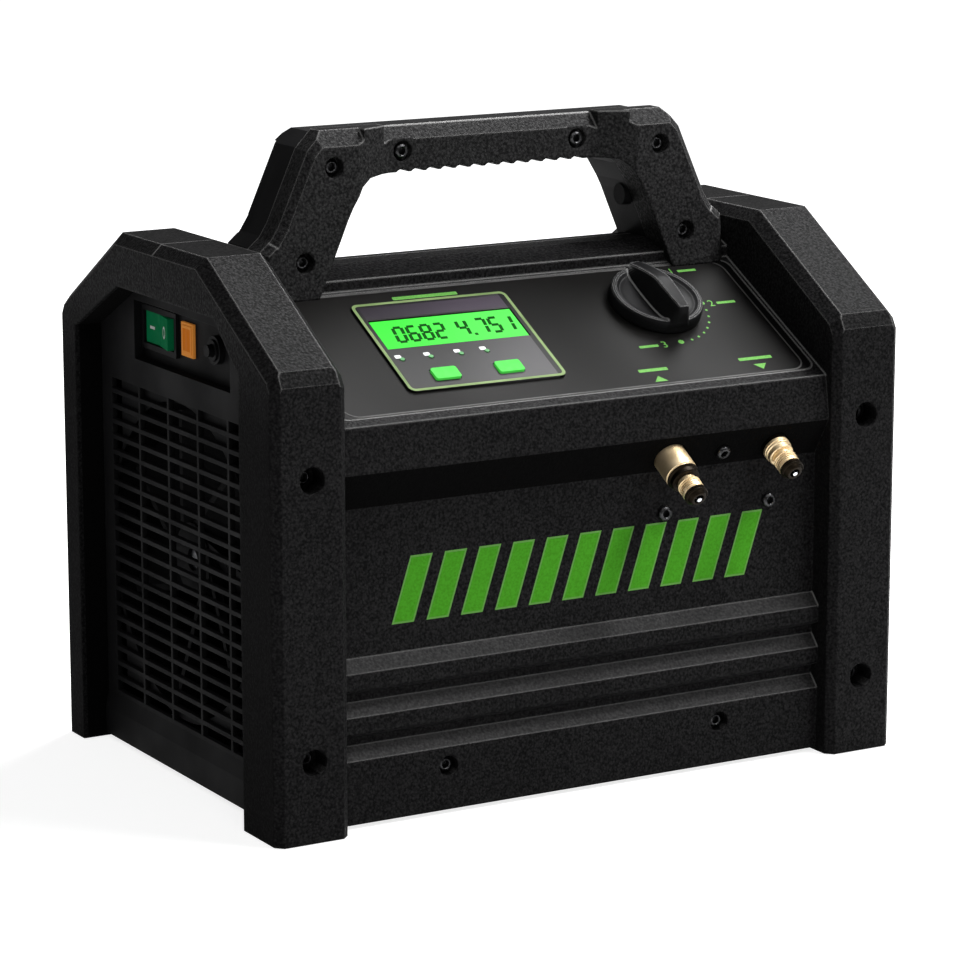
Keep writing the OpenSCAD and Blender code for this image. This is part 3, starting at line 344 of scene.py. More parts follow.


# Painted shade: the undercut below the band and the inside of the hoops in full, the outer sides
# (most near the bottom) and the tops of the hoops in part.
def shade_mask(made, x, y, z):
    flat = made.flat()
    wide = x.size()
    undercut = z.span(*UNDERCUT_Z) * (y < UNDERCUT_Y * MM) * (wide < UNDERCUT_X * MM)
    under_slopes = (z - y * FRONT_PITCH < FRONT_LIMIT * MM) * (z + y * REAR_PITCH < REAR_LIMIT * MM)
    hoop = wide.span(*HOOP_X) * y.span(*HOOP_Y) * (z < HOOP_Z * MM) * under_slopes
    fade = z.ramp(SIDE_FADE[0] * MM, SIDE_FADE[1] * MM, 0.6, 0.05)
    outside = flat.part(0).size().ramp(0.8, 0.95) * fade
    crown = (z > CROWN_Z * MM) * flat.part(2).ramp(0.95, 0.99) * 0.5
    return (undercut + hoop + outside + crown).capped()


def grained_shell(name, dark, light):
    made = Finish(name, {"Specular IOR Level": 0.022})
    x, y, z = (made.place.part(axis) for axis in range(3))
    mottle = made.noise(1.5 * MM, 3.0, roughness=0.6)
    specks = 1 - made.cells(1.5 * MM).ramp(0.1, 0.8)
    grain = mottle.ramp(0.25, 0.75) * 0.6 + specks * 0.4
    drift = made.noise(60 * MM, 2.0)
    soft = made.edge(1.9 * MM)
    looks_up = soft.part(2).ramp(0.05, 0.36)
    # Painted highlight: sharp edges that look up turn pale grey, except round the screw cups.
    edge_highlight = made.edge_highlight_mask(soft, 0.02, 0.12) * looks_up * (1 - cup_mask(x.size(), z))
    shade = shade_mask(made, x, y, z)
    # Painted highlight: the ledges of the front that face up and forward are tinted paler.
    ledge_highlight = (z < LEDGE_Z * MM) * (y < LEDGE_Y * MM) * made.flat().part(2).band(0.4, 0.9)
    tone = (grain * 0.85 + drift * 0.15).ramp(0.1, 0.95).tint(dark, light)
    tone = (ledge_highlight * (0.25 + grain * 0.35)).tint(tone, LEDGE_HIGHLIGHT_GREY)
    made.feed("Base Color", shade.tint(edge_highlight.tint(tone, EDGE_HIGHLIGHT_GREY), SHADE_BLACK))
    made.feed("Roughness", grain.ramp(0.0, 1.0, 0.62, 0.46) * (1 - shade) + shade * 0.95)
    made.feed("Normal", made.bump(grain, 0.6, 0.35 * MM, soft))
    return made


shell = grained_shell("shell_grain", (0.0028, 0.0028, 0.003, 1), (0.016, 0.0157, 0.016, 1))
# The handle takes the shell's grain with lighter colours, a painted light for the brighter light
# near the top.
handle_shell_painted_light = grained_shell("handle_grain_painted_light", (0.0058, 0.0058, 0.006, 1), (0.03, 0.0296, 0.03, 1))
dress(shell, "housing_front", "housing_rear")
dress(handle_shell_painted_light, "handle_front")

# %% [markdown]
# ## Smooth mouldings
# The side plates, the rear half of the handle and the switch parts come from polished tools.
# They keep only a faint fine texture and the odd handling mark, so they look darker and quieter
# than the shell.

# %% Mould the smooth parts
def smooth_plastic(name, dark, light, roughness, edge):
    made = Finish(name, {"Specular IOR Level": 0.018})
    haze = made.noise(0.8 * MM, 3.0)
    rub = made.noise(35 * MM, 4.0)
    made.feed("Base Color", (haze * 0.5 + rub * 0.5).ramp(0.3, 0.7).tint(dark, light))
    made.feed("Roughness", rub.ramp(0.3, 0.75, roughness + 0.08, roughness - 0.06))
    made.feed("Normal", made.bump(haze, 0.12, 0.1 * MM, made.edge(edge)))
    return made


plate = smooth_plastic("plate_black", (0.0065, 0.0065, 0.0068, 1), (0.0105, 0.0105, 0.011, 1),
                       0.5, 0.5 * MM)
switch = smooth_plastic("switch_black", (0.006, 0.006, 0.0065, 1), (0.011, 0.011, 0.0115, 1),
                        0.38, 0.4 * MM)
dress(plate, "grille_left", "grille_right", "handle_rear", "fan_shroud", "fan")
dress(switch, "rocker_frame", "breaker_body", "breaker_nut", "breaker_button", "power_inlet")

# %% [markdown]
# ## Console overlay
# The console is a satin charcoal sheet. It is lighter than the shell because its even surface
# sends the lamp back, and a very fine grain keeps it from looking like glass. Its ends, beyond
# the grey edge line, carry painted shade, and its sharp edges a painted highlight.

# %% Print the overlay
MARGIN_X = 140
overlay = Finish("overlay_charcoal", {"Specular IOR Level": 0.022})
sand = overlay.noise(0.35 * MM, 2.0)
cloud = overlay.noise(90 * MM, 1.0)
rim = overlay.edge(1.2 * MM)
sheet = (sand * 0.4 + cloud * 0.6).ramp(0.3, 0.7)
sheet = sheet.tint((0.0045, 0.0044, 0.0042, 1), (0.0075, 0.0073, 0.007, 1))
# Painted shade: beyond the grey line the panel ends turn near black where they meet the end frames.
margin_shade = overlay.place.part(0).size() > MARGIN_X * MM
sheet = margin_shade.tint(sheet, (0.003, 0.003, 0.003, 1))
# Painted highlight: the panel's sharp edges turn pale grey.
overlay.feed("Base Color", overlay.edge_highlight_mask(rim, 0.02, 0.14).tint(sheet, (0.13, 0.129, 0.125, 1)))
overlay.feed("Roughness", cloud.ramp(0.3, 0.7, 0.54, 0.46))
overlay.feed("Normal", overlay.bump(sand, 0.1, 0.06 * MM, rim))
dress(overlay, "console_panel")

# %% [markdown]
# ## The slope as a drawing board
# Everything printed on the console is easier to place in the console's own plane: x across,
# s up the slope from the lip, h above the surface. One matrix carries that plane into the frame,
# and one direction gives s back inside a shader.

# %% Set up the slope
SLOPE_ANGLE = math.radians(27.7)
SLOPE_LENGTH = 110
LIP = Vector((0, -119 * MM, 210.5 * MM))
SLOPE = Matrix.Translation(LIP) @ Matrix.Rotation(SLOPE_ANGLE, 4, "X")
UP_SLOPE = (0, math.cos(SLOPE_ANGLE), math.sin(SLOPE_ANGLE))
LIP_S = LIP.dot(Vector(UP_SLOPE))


def on_slope(x=0, s=0, h=0):
    return SLOPE @ Matrix.Translation((x * MM, s * MM, h * MM)) @ Matrix.Scale(MM, 4)


rise = SLOPE_LENGTH * math.sin(SLOPE_ANGLE)
print("the slope rises", round(rise, 1), "mm over its length of", SLOPE_LENGTH, "mm")

# %% [markdown]
# ## Display bezel, display and buttons
# The bezel is a printed film, near black at the upper left, with a violet grey strip over the
# window; towards the lower right its colour grows grey. The window behind it is a backlit liquid
# crystal, so it glows by itself, a little less at its left end. The buttons and the status lamps
# are clear green plastic and glow less.

# %% Print the bezel and light the display
WINDOW_STRIP_S, WINDOW_STRIP_X = (83, 93), (-93, -8)
BEZEL_LEFT, BEZEL_RIGHT = -94, -8
bezel = Finish("bezel_film", {"Specular IOR Level": 0.03})
bezel_s = bezel.place.along(UP_SLOPE) - LIP_S
bezel_x = bezel.place.part(0)
wash = (bezel_x - bezel_s * 0.55).ramp(-95 * MM, -25 * MM)
base = wash.tint((0.0075, 0.0073, 0.0076, 1), (0.05, 0.0485, 0.051, 1))
strip = bezel_s.span(*WINDOW_STRIP_S) * bezel_x.span(*WINDOW_STRIP_X)
strip_colour = bezel_x.ramp(-95 * MM, -10 * MM)
strip_colour = strip_colour.tint((0.014, 0.011, 0.016, 1), (0.036, 0.028, 0.04, 1))
edge_line = (bezel_x > BEZEL_RIGHT * MM) + (bezel_x < BEZEL_LEFT * MM)
film = edge_line.tint(strip.tint(base, strip_colour), (0.004, 0.004, 0.004, 1))
bezel.feed("Base Color", film)
bezel.feed("Roughness", bezel.noise(0.4 * MM).ramp(0.3, 0.7, 0.42, 0.36))
bezel.feed("Normal", bezel.bump(bezel.noise(0.35 * MM), 0.08, 0.05 * MM, bezel.edge(0.4 * MM)))
dress(bezel, "display_bezel")

display = Finish("display_green",
                 {"Emission Strength": 0.86, "Roughness": 0.5, "Specular IOR Level": 0.03})
cell = display.noise(0.5 * MM, 1.0)
shine = display.place.part(0).ramp(-93 * MM, -8 * MM)
lit = (shine * 0.7 + cell * 0.3).tint((0.02, 0.84, 0.02, 1), (0.13, 0.93, 0.13, 1))
display.feed("Base Color", cell.tint((0.01, 0.12, 0.01, 1), (0.015, 0.16, 0.015, 1)))
display.feed("Emission Color", lit)
dress(display, "display_glass")

keys = Finish("key_green",
              {"Emission Strength": 0.5, "Roughness": 0.5, "Specular IOR Level": 0.02})
key_cloud = keys.noise(5 * MM, 2.0)
keys.feed("Base Color", key_cloud.tint((0.03, 0.26, 0.03, 1), (0.06, 0.34, 0.06, 1)))
keys.feed("Emission Color", key_cloud.tint((0.04, 0.6, 0.04, 1), (0.1, 0.75, 0.1, 1)))
keys.feed("Normal", keys.edge(0.5 * MM))
dress(keys, "button_left", "button_right")

lamps = Finish("lamp_dim_green",
               {"Emission Strength": 0.1, "Roughness": 0.4, "Specular IOR Level": 0.03})
lamp_cloud = lamps.noise(1.5 * MM, 1.0)
lamps.feed("Base Color", lamp_cloud.tint((0.04, 0.14, 0.05, 1), (0.09, 0.26, 0.1, 1)))
lamps.feed("Emission Color", lamp_cloud.tint((0.05, 0.3, 0.06, 1), (0.1, 0.5, 0.12, 1)))
dress(lamps, "status_lamps")

# %% [markdown]
# ## Switch colours
# The rocker is a deep green satin plastic and the lamp beside it an amber lens with moulded
# flutes. The lens glows a little, brighter near its rim where the plastic is thicker.

# %% Colour the switch parts
LENS_Y, LENS_Z = (4.5, 13.5), (232, 244)
rocker_look = Finish("rocker_green", {"Specular IOR Level": 0.01, "Emission Strength": 0.12})
rocker_cloud = rocker_look.noise(9 * MM, 2.0)
rocker_green = rocker_cloud.tint((0.001, 0.115, 0.038, 1), (0.003, 0.15, 0.055, 1))
rocker_look.feed("Base Color", rocker_green)
rocker_look.feed("Emission Color", rocker_green)
rocker_look.feed("Roughness", rocker_cloud.ramp(0.3, 0.7, 0.5, 0.4))
rocker_look.feed("Normal", rocker_look.edge(0.6 * MM))
dress(rocker_look, "rocker")

amber = Finish("amber_lens",
               {"Emission Strength": 0.22, "Roughness": 0.45, "Specular IOR Level": 0.02})
flute = amber.start.node("ShaderNodeTexWave", {"wave_type": "BANDS", "bands_direction": "Y"},
                         {"Vector": amber.place, "Scale": 62.0, "Distortion": 0.0}, "Fac")
middle = amber.place.part(1).span(*LENS_Y) * amber.place.part(2).span(*LENS_Z)
body_tone = (middle * 0.75 + flute * 0.25).ramp(0.1, 1.0)
amber.feed("Base Color", body_tone.tint((0.55, 0.22, 0.04, 1), (0.45, 0.12, 0.005, 1)))
amber.feed("Emission Color", body_tone.tint((0.85, 0.3, 0.05, 1), (0.75, 0.19, 0.006, 1)))
amber.feed("Normal", amber.bump(flute, 0.4, 0.4 * MM, amber.edge(0.4 * MM)))
dress(amber, "lamp_lens")

# %% [markdown]
# ## Metals
# The flare fittings are pale turned brass. Turning leaves rings round the axis, so the roughness
# varies in thin bands along it. The colour is near black on a collar of each body and at the flare
# ends; the limits count the run along the axis from the strip. Steel, alloy, copper, zinc and
# enamel inside share one recipe with other colours and grain sizes.

# %% Turn the metals
INLET_COLLAR, INLET_END = (14.3, 19.2), 28.4
OUTLET_COLLAR, OUTLET_END = 2.2, 18.2


def metal(name, dark, light, roughness, grain_size, bump):
    made = Finish(name, {"Metallic": 1.0})
    patch = made.noise(14 * MM, 3.0)
    scratch = made.noise(grain_size, 3.0)
    made.feed("Base Color", (patch * 0.6 + scratch * 0.4).ramp(0.3, 0.7).tint(dark, light))
    made.feed("Roughness", scratch.ramp(0.3, 0.7, roughness - 0.06, roughness + 0.08))
    made.feed("Normal", made.bump(scratch, bump, 0.1 * MM, made.edge(0.3 * MM)))
    return made


brass = Finish("turned_brass", {"Metallic": 1.0})
reach = brass.place.along(PORT_OUT)
rings = brass.start.node("ShaderNodeTexNoise", {"noise_dimensions": "1D"},
                         {"W": reach, "Scale": 5200.0, "Detail": 2.0}, "Fac")
stain = brass.noise(7 * MM, 3.0)
run = reach - Vector((0, PORT_Y * MM, PORT_Z * MM)).dot(Vector(PORT_OUT))
outlet = brass.place.part(0) > PORTS_MIDDLE * MM
# Near black along the axis: a collar of each body and the flare ends.
inlet_dark = run.span(*INLET_COLLAR) + (run > INLET_END * MM)
outlet_dark = (run < OUTLET_COLLAR * MM) + (run > OUTLET_END * MM)
dark_bands = outlet * outlet_dark + (1 - outlet) * inlet_dark
turned = (rings * 0.3 + stain * 0.7).ramp(0.3, 0.7)
turned = turned.tint((0.7, 0.53, 0.3, 1), (0.86, 0.69, 0.45, 1))
brass.feed("Base Color", dark_bands.tint(turned, (0.012, 0.009, 0.006, 1)))
brass.feed("Roughness", (rings * 0.6 + stain * 0.4).ramp(0.3, 0.7, 0.42, 0.54))
brass.feed("Normal", brass.bump(rings, 0.15, 0.05 * MM, brass.edge(0.3 * MM)))
dress(brass, "inlet_fitting", "outlet_fitting")

steel = metal("turned_steel", (0.55, 0.56, 0.58, 1), (0.72, 0.73, 0.75, 1), 0.22, 0.6 * MM, 0.05)
alloy = metal("cast_alloy", (0.3, 0.3, 0.31, 1), (0.5, 0.5, 0.51, 1), 0.5, 1.5 * MM, 0.3)
copper = metal("bare_copper", (0.42, 0.17, 0.09, 1), (0.62, 0.29, 0.17, 1), 0.35, 1.2 * MM, 0.1)
zinc = metal("zinc_sheet", (0.4, 0.41, 0.42, 1), (0.56, 0.57, 0.58, 1), 0.4, 4 * MM, 0.08)
enamel = metal("motor_enamel", (0.1, 0.1, 0.11, 1), (0.17, 0.175, 0.18, 1), 0.45, 1.0 * MM, 0.15)
dress(steel, "inlet_core", "outlet_core", "spindle", "inlet_pins")
dress(alloy, "valve_block", "crankcase", "cylinder_heads")
dress(copper, "condenser", "suction_pipe", "discharge_pipe")
dress(zinc, "base_plate")
dress(enamel, "motor", "motor_shaft")

# %% [markdown]
# ## Boards and rubber
# The hidden boards are green laminate with a faint weave, and the mounts are dull rubber.

# %% Finish the boards and the mounts
laminate = Finish("board_laminate", {"Specular IOR Level": 0.4})
weave = laminate.cells(1.2 * MM)
laminate.feed("Base Color", weave.tint((0.006, 0.07, 0.03, 1), (0.012, 0.12, 0.05, 1)))
laminate.feed("Roughness", weave.ramp(0.0, 0.8, 0.35, 0.5))
dress(laminate, "display_board", "control_board")
rubber = Finish("mount_rubber", {"Specular IOR Level": 0.2})
dust = rubber.noise(3 * MM, 4.0)
dusty = dust.ramp(0.35, 0.7).tint((0.01, 0.01, 0.01, 1), (0.03, 0.03, 0.029, 1))
rubber.feed("Base Color", dusty)
rubber.feed("Roughness", dust.ramp(0.3, 0.7, 0.7, 0.9))
dress(rubber, "rubber_mounts")

# %% [markdown]
# ## Making and placing pieces
# A new piece is a mesh with its place already inside it, so its object stays at the origin. The
# helper below links it, gives it its finish, lets it ride on a body of the frame and hides the CAD
# parts it replaces. The others turn profiles, raise outlines and join rings of points into walls.

# %% Helpers for pieces
def add_piece(name, mesh, finish, body, replaced=(), smooth=30):
    if finish is not None:
        mesh.materials.clear()
        mesh.materials.append(finish.material)
    if smooth:
        mesh.shade_smooth()
        mesh.set_sharp_from_angle(angle=math.radians(smooth))
    piece = bpy.data.objects.new(name, mesh)
    scene.collection.objects.link(piece)
    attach(piece, body)
    if replaced:
        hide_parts(*replaced)
    print(name, "faces", len(mesh.polygons), "rides on", body)


def mesh_from(name, shape, place=None):
    bmesh.ops.remove_doubles(shape, verts=shape.verts, dist=1e-7)
    bmesh.ops.recalc_face_normals(shape, faces=shape.faces)
    mesh = bpy.data.meshes.new(name)
    shape.to_mesh(mesh)
    shape.free()
    if place is not None:
        mesh.transform(place)
    return mesh


def round_turn(steps):
    return [2 * math.pi * i / steps for i in range(steps)]


def join_rings(shape, near, far):
    for i in range(len(near)):
        j = (i + 1) % len(near)
        corners = list(dict.fromkeys((near[i], near[j], far[j], far[i])))
        if len(corners) > 2:
            shape.faces.new(corners)


def lathe(shape, profile, steps=64):
    turned_rings = []
    for r, h in profile:
        if r == 0:
            turned_rings.append([shape.verts.new((0, 0, h))] * steps)
        else:
            turned_rings.append([shape.verts.new((r * math.cos(t), r * math.sin(t), h))
                                 for t in round_turn(steps)])
    for low, high in zip(turned_rings, turned_rings[1:]):
        join_rings(shape, low, high)


def slab(shape, outline, low, high):
    bottom = [shape.verts.new((x, y, low)) for x, y in outline]
    top = [shape.verts.new((x, y, high)) for x, y in outline]
    shape.faces.new(bottom)
    shape.faces.new(top)
    join_rings(shape, bottom, top)


def soft_outline(w, h, r, middle=(0, 0), steps=6):
    points = []
    for i, (sx, sy) in enumerate(((1, 1), (-1, 1), (-1, -1), (1, -1))):
        for k in range(steps + 1):
            t = math.radians(90 * i + 90 * k / steps)
            points.append((middle[0] + sx * (w / 2 - r) + r * math.cos(t),
                           middle[1] + sy * (h / 2 - r) + r * math.sin(t)))
    return points


def plain_mesh(host):
    scene.collection.objects.link(host)
    settled = host.evaluated_get(bpy.context.evaluated_depsgraph_get())
    mesh = bpy.data.meshes.new_from_object(settled)
    bpy.data.objects.remove(host)
    return mesh


print("piece helpers ready")

# %% [markdown]
# ## Growing pieces with Geometry Nodes
# What repeats or follows a path is grown by a node tree with named sizes. The tree is evaluated
# once, turned into a plain mesh, and the object that carried the modifier is thrown away.

# %% Helpers that grow a mesh
def new_tree(name, sizes):
    tree = bpy.data.node_groups.new(name, "GeometryNodeTree")
    for side in ("INPUT", "OUTPUT"):
        tree.interface.new_socket("Geometry", in_out=side, socket_type="NodeSocketGeometry")
    for size, value in sizes.items():
        kind = "NodeSocketInt" if isinstance(value, int) else "NodeSocketFloat"
        tree.interface.new_socket(size, in_out="INPUT", socket_type=kind)
    start = Field(tree)
    names = list(sizes) + ["Geometry"]
    return start, {size: start.node("NodeGroupInput", output=size) for size in names}


def close_tree(start, geometry, finish):
    solid = start.node("GeometryNodeRealizeInstances", None, {"Geometry": geometry})
    painted = start.node("GeometryNodeSetMaterial", None,
                         {"Geometry": solid, "Material": finish.material})
    start.node("NodeGroupOutput", None, {0: painted})
    return start.tree


def grow(tree, sizes, seed_mesh=None):
    host = bpy.data.objects.new("host", seed_mesh or bpy.data.meshes.new("host"))
    modifier = host.modifiers.new("grow", "NODES")
    modifier.node_group = tree
    for item in tree.interface.items_tree:
        if item.in_out == "INPUT" and item.name in sizes:
            modifier[item.identifier] = sizes[item.name]
    return plain_mesh(host)


print("growing helpers ready")

# %% [markdown]
# ## Screws
# Fifteen black pan head screws with a socket hold the shell, the handle and the manifold. The
# tree puts one head with its shank on every seat, turned to the direction that the seat carries
# as an attribute. One tree makes all of them, so they are sure to be the same.

# %% Drive the screws
screw_look = Finish("black_oxide", {"Metallic": 1.0})
oxide = screw_look.noise(1.2 * MM, 3.0)
oxide_tone = oxide.ramp(0.3, 0.7).tint((0.02, 0.02, 0.021, 1), (0.06, 0.06, 0.062, 1))
screw_look.feed("Base Color", oxide_tone)
screw_look.feed("Roughness", oxide.ramp(0.3, 0.7, 0.3, 0.44))
screw_look.feed("Normal", screw_look.edge(0.35 * MM))

FRAME_SEAT_Y, LEG_SEAT_Y, GRIP_SEAT_Y, BLOCK_SEAT_Z = -115.5, -20, -12, 143.4
FORWARD = (0, -1, 0)
SIDES = (-1, 1)
SEATS = [((s * FRAME_SCREW_X, FRAME_SEAT_Y, z), FORWARD) for s in SIDES for z in FRAME_SCREW_Z]
SEATS += [((s * BOTTOM_SCREW_X, FRONT_Y, BOTTOM_SCREW_Z), FORWARD) for s in SIDES]
SEATS += [((s * x, LEG_SEAT_Y, z), FORWARD) for s in SIDES for x, z in HANDLE_LEG_SCREWS]
SEATS += [((s * HANDLE_GRIP_SCREW[0], GRIP_SEAT_Y, HANDLE_GRIP_SCREW[1]), FORWARD) for s in SIDES]
SEATS += [((x, FRONT_Y, BLOCK_SEAT_Z), FORWARD) for x in (INLET_X, OUTLET_X)]
SEATS += [((PORTS_MIDDLE, PORT_Y, PORT_Z), PORT_OUT)]

SOCKET = [(0, -1.0), (1.9, -1.0), (1.95, 1.2), (1.95, 2.45)]
PAN = [(2.5, 2.95), (3.2, 2.75), (3.85, 2.1), (4.15, 1.2), (4.2, 0.3), (4.0, 0.0)]
SHANK = [(1.95, 0.0), (1.95, -9.0), (1.4, -10.0), (0, -10.0)]
head = bmesh.new()
lathe(head, SOCKET + PAN + SHANK, 24)
head_mesh = mesh_from("screw_pattern", head, Matrix.Scale(MM, 4))
pattern = bpy.data.objects.new("screw_pattern", head_mesh)

SCREW = {"Screw Scale": 1.0}
start, inputs = new_tree("screw_seats", SCREW)
screw = start.node("GeometryNodeObjectInfo", None, {"Object": pattern}, "Geometry")
facing = start.node("GeometryNodeInputNamedAttribute", {"data_type": "FLOAT_VECTOR"},
                    {"Name": "facing"})
turn = start.node("FunctionNodeAlignRotationToVector", {"axis": "Z"}, {"Vector": facing})
set_out = start.node("GeometryNodeInstanceOnPoints", None,
                     {"Points": inputs["Geometry"], "Instance": screw, "Rotation": turn,
                      "Scale": inputs["Screw Scale"]})
seats = bpy.data.meshes.new("seats")
seats.from_pydata([[v * MM for v in place] for place, _ in SEATS], [], [])
directions = seats.attributes.new("facing", "FLOAT_VECTOR", "POINT")
directions.data.foreach_set("vector", [v for _, out in SEATS for v in out])
screws = grow(close_tree(start, set_out, screw_look), SCREW, seats)
bpy.data.objects.remove(pattern)
add_piece("screws", screws, None, "machine",
          ("frame_screws", "bottom_screws", "handle_screws", "manifold_screws"), 40)

# %% [markdown]
# ## Flare fittings
# Each fitting is a turned body with a real thread. The body is a lathed profile; the thread is a
# small four-sided profile swept along a spiral, with one corner outwards as the crest.

# %% Turn the fittings and cut the threads
THREAD = {"Thread Radius": 5.75, "Pitch": 1.27, "Turns": 8.0, "Depth": 0.62}
THREAD_R = THREAD["Thread Radius"]
BORE_R, SEAT_R, NECK_R = 2.6, 1, 5.2
NECK_LENGTH, THREAD_LENGTH, FLARE_LENGTH = 2, 10.16, 2.2
ROOT = -20

start, inputs = new_tree("flare_thread", THREAD)
spiral = start.node("GeometryNodeCurveSpiral", None,
                    {"Resolution": 40, "Rotations": inputs["Turns"],
                     "Start Radius": inputs["Thread Radius"],
                     "End Radius": inputs["Thread Radius"],
                     "Height": inputs["Pitch"] * inputs["Turns"]})
tooth = start.node("GeometryNodeCurvePrimitiveCircle", None,
                   {"Resolution": 4, "Radius": inputs["Depth"]})
ridge = start.node("GeometryNodeCurveToMesh", None,
                   {"Curve": spiral, "Profile Curve": tooth, "Fill Caps": True})
thread_tree = close_tree(start, ridge, brass)


def fitting_place(x):
    foot = Matrix.Translation((x * MM, PORT_Y * MM, PORT_Z * MM))
    return foot @ Matrix.Rotation(math.radians(90 + PORT_TILT), 4, "X") @ Matrix.Scale(MM, 4)


def fitting(name, node, x, step, r, cut):
    end = step + NECK_LENGTH + THREAD_LENGTH + FLARE_LENGTH
    bevel = step - 3 - cut
    barrel = [(BORE_R, ROOT), (r, ROOT), (r, bevel - 1.6), (r - 0.5, bevel - 1.2),
              (r - 0.5, bevel - 0.8), (r, bevel - 0.4), (r, bevel), (r - cut, step - 3),
              (r - cut, step - 0.5), (r - cut - 0.5, step)]
    neck = [(NECK_R, step), (NECK_R, step + NECK_LENGTH), (THREAD_R, step + 2.5),
            (THREAD_R, step + 11.7), (5.5, step + 12.2)]
    flare = [(4.3, end - 0.2), (4.0, end), (2.9, end), (BORE_R, end - 0.3)]
    bore = [(BORE_R, end - 9), (SEAT_R, end - 9), (SEAT_R, end - 12), (BORE_R, end - 12),
            (BORE_R, ROOT)]
    body = bmesh.new()
    lathe(body, barrel + neck + flare + bore)
    thread = grow(thread_tree, THREAD)
    thread.transform(Matrix.Translation((0, 0, step + 2.1)))
    both = bmesh.new()
    both.from_mesh(mesh_from(name, body))
    both.from_mesh(thread)
    whole = bpy.data.meshes.new(name)
    both.to_mesh(whole)
    both.free()
    whole.transform(fitting_place(x))
    add_piece(name, whole, brass, "machine", (node,), 35)


fitting("inlet_turned", "inlet_fitting", INLET_X, step=19, r=9.0, cut=1.0)
fitting("outlet_turned", "outlet_fitting", OUTLET_X, step=9, r=7.6, cut=0.6)

# %% [markdown]
# ## Selector knob
# The knob has a round skirt with a soft rim and a dished top, and a wedge grip across it: high and
# narrow at the pointing end, lower and wider at the other. The skirt is lathed; the grip is lofted
# from cross sections along its length, so that its width and height can change smoothly. Along the
# grip u runs from -1 at the pointing end to 1.

# %% Shape the knob
knob_look = Finish("knob_satin", {"Specular IOR Level": 0.025})
knob_haze = knob_look.noise(0.6 * MM, 2.0)
knob_rub = knob_look.noise(18 * MM, 3.0)
knob_soft = knob_look.edge(1.5 * MM)
knob_tone = (knob_haze * 0.4 + knob_rub * 0.6).ramp(0.3, 0.7)
knob_tone = knob_tone.tint((0.005, 0.005, 0.0053, 1), (0.01, 0.01, 0.0105, 1))
# Painted highlight: the knob's sharp edges that look up turn pale grey.
knob_edge_highlight = knob_look.edge_highlight_mask(knob_soft, 0.008, 0.06) * knob_soft.part(2).ramp(0.2, 0.6)
knob_look.feed("Base Color", knob_edge_highlight.tint(knob_tone, (0.2, 0.2, 0.2, 1)))
knob_look.feed("Roughness", knob_rub.ramp(0.3, 0.7, 0.5, 0.4))
knob_look.feed("Normal", knob_look.bump(knob_haze, 0.08, 0.06 * MM, knob_soft))

KNOB_X, KNOB_S = 79, 72.7
SKIRT = [(0, 0.5), (25.2, 0.5), (25.8, 0.8), (26, 1.4), (26, 6.3), (25.7, 7.3), (25.0, 8.1),
         (24.0, 8.4), (23.0, 8.2), (22.2, 7.6), (21, 6.8), (18, 6.2), (12, 5.9), (0, 5.8)]
STATIONS = 29
HALF_LENGTH, FOOT_W, TOP_W, GRIP_H, GRIP_LOW = 26.8, 8.0, 4.3, 19.2, 4.5
NOSE_FROM, NOSE_RUN = 0.9, 0.1
ROUND_FROM, ROUND_RUN = 0.93, 0.07


def grip_section(u):
    a = abs(u)
    pointing = u < 0
    foot = FOOT_W - (1.6 if pointing else 0.5) * u * u
    top = TOP_W - (1.9 * u * u if pointing else 0)
    tall = GRIP_H - (1.2 * u * u if pointing else 9.0 * u ** 1.25)
    low = GRIP_LOW
    if u < -NOSE_FROM:
        tall -= 3.0 * ((a - NOSE_FROM) / NOSE_RUN) ** 2
    if a > ROUND_FROM:
        ease = (a - ROUND_FROM) / ROUND_RUN
        foot *= 1 - 0.3 * ease ** 2
        top *= 1 - 0.3 * ease ** 2
        low += 2.0 * ease
    half = [(foot, low), (foot * 0.86 + top * 0.14, min(7.6, tall - 2.2)), (top + 0.7, tall - 2.0),
            (top + 0.3, tall - 0.7), (top - 0.2, tall - 0.15), (top - 0.8, tall)]
    return half + [(-w, h) for w, h in reversed(half)]


knob = bmesh.new()
lathe(knob, SKIRT, 96)
rows = []
for i in range(STATIONS):
    u = -1 + 2 * i / (STATIONS - 1)
    rows.append([knob.verts.new((w, HALF_LENGTH * u, h)) for w, h in grip_section(u)])
for near, far in zip(rows, rows[1:]):
    join_rings(knob, near, far)
knob.faces.new(rows[0])
knob.faces.new(rows[-1])
knob_mesh = mesh_from("selector", knob, on_slope(KNOB_X, KNOB_S))
add_piece("selector", knob_mesh, knob_look, "knob", ("knob",), 38)
dress(knob_look, "knob")

# %% [markdown]
# ## Printed marks on the console
# Print has almost no thickness, so each mark is a thin slab that stands a few hundredths of a
# millimetre out of the film. The dotted arc beside the knob follows a path, so a node tree
# places its dots; the rest are plain outlines. Plain bars and the numbers 1 to 3 serve as captions.

# %% Print the marks
def printed(name, grain, dark, light, detail=2.0, roughness=0.5, specular=0.02):
    made = Finish(name, {"Roughness": roughness, "Specular IOR Level": specular})
    made.feed("Base Color", made.noise(grain, detail).tint(dark, light))
    return made


# The emission is a painted glow: printed ink gives no light of its own.
def glowing_ink(name, grain, tones, glow_tones, strength):
    made = Finish(name, {"Roughness": 0.5, "Emission Strength": strength,
                         "Specular IOR Level": 0.02})
    fleck = made.noise(grain, 2.0)
    made.feed("Base Color", fleck.ramp(0.3, 0.7).tint(*tones))
    made.feed("Emission Color", fleck.tint(*glow_tones))
    return made


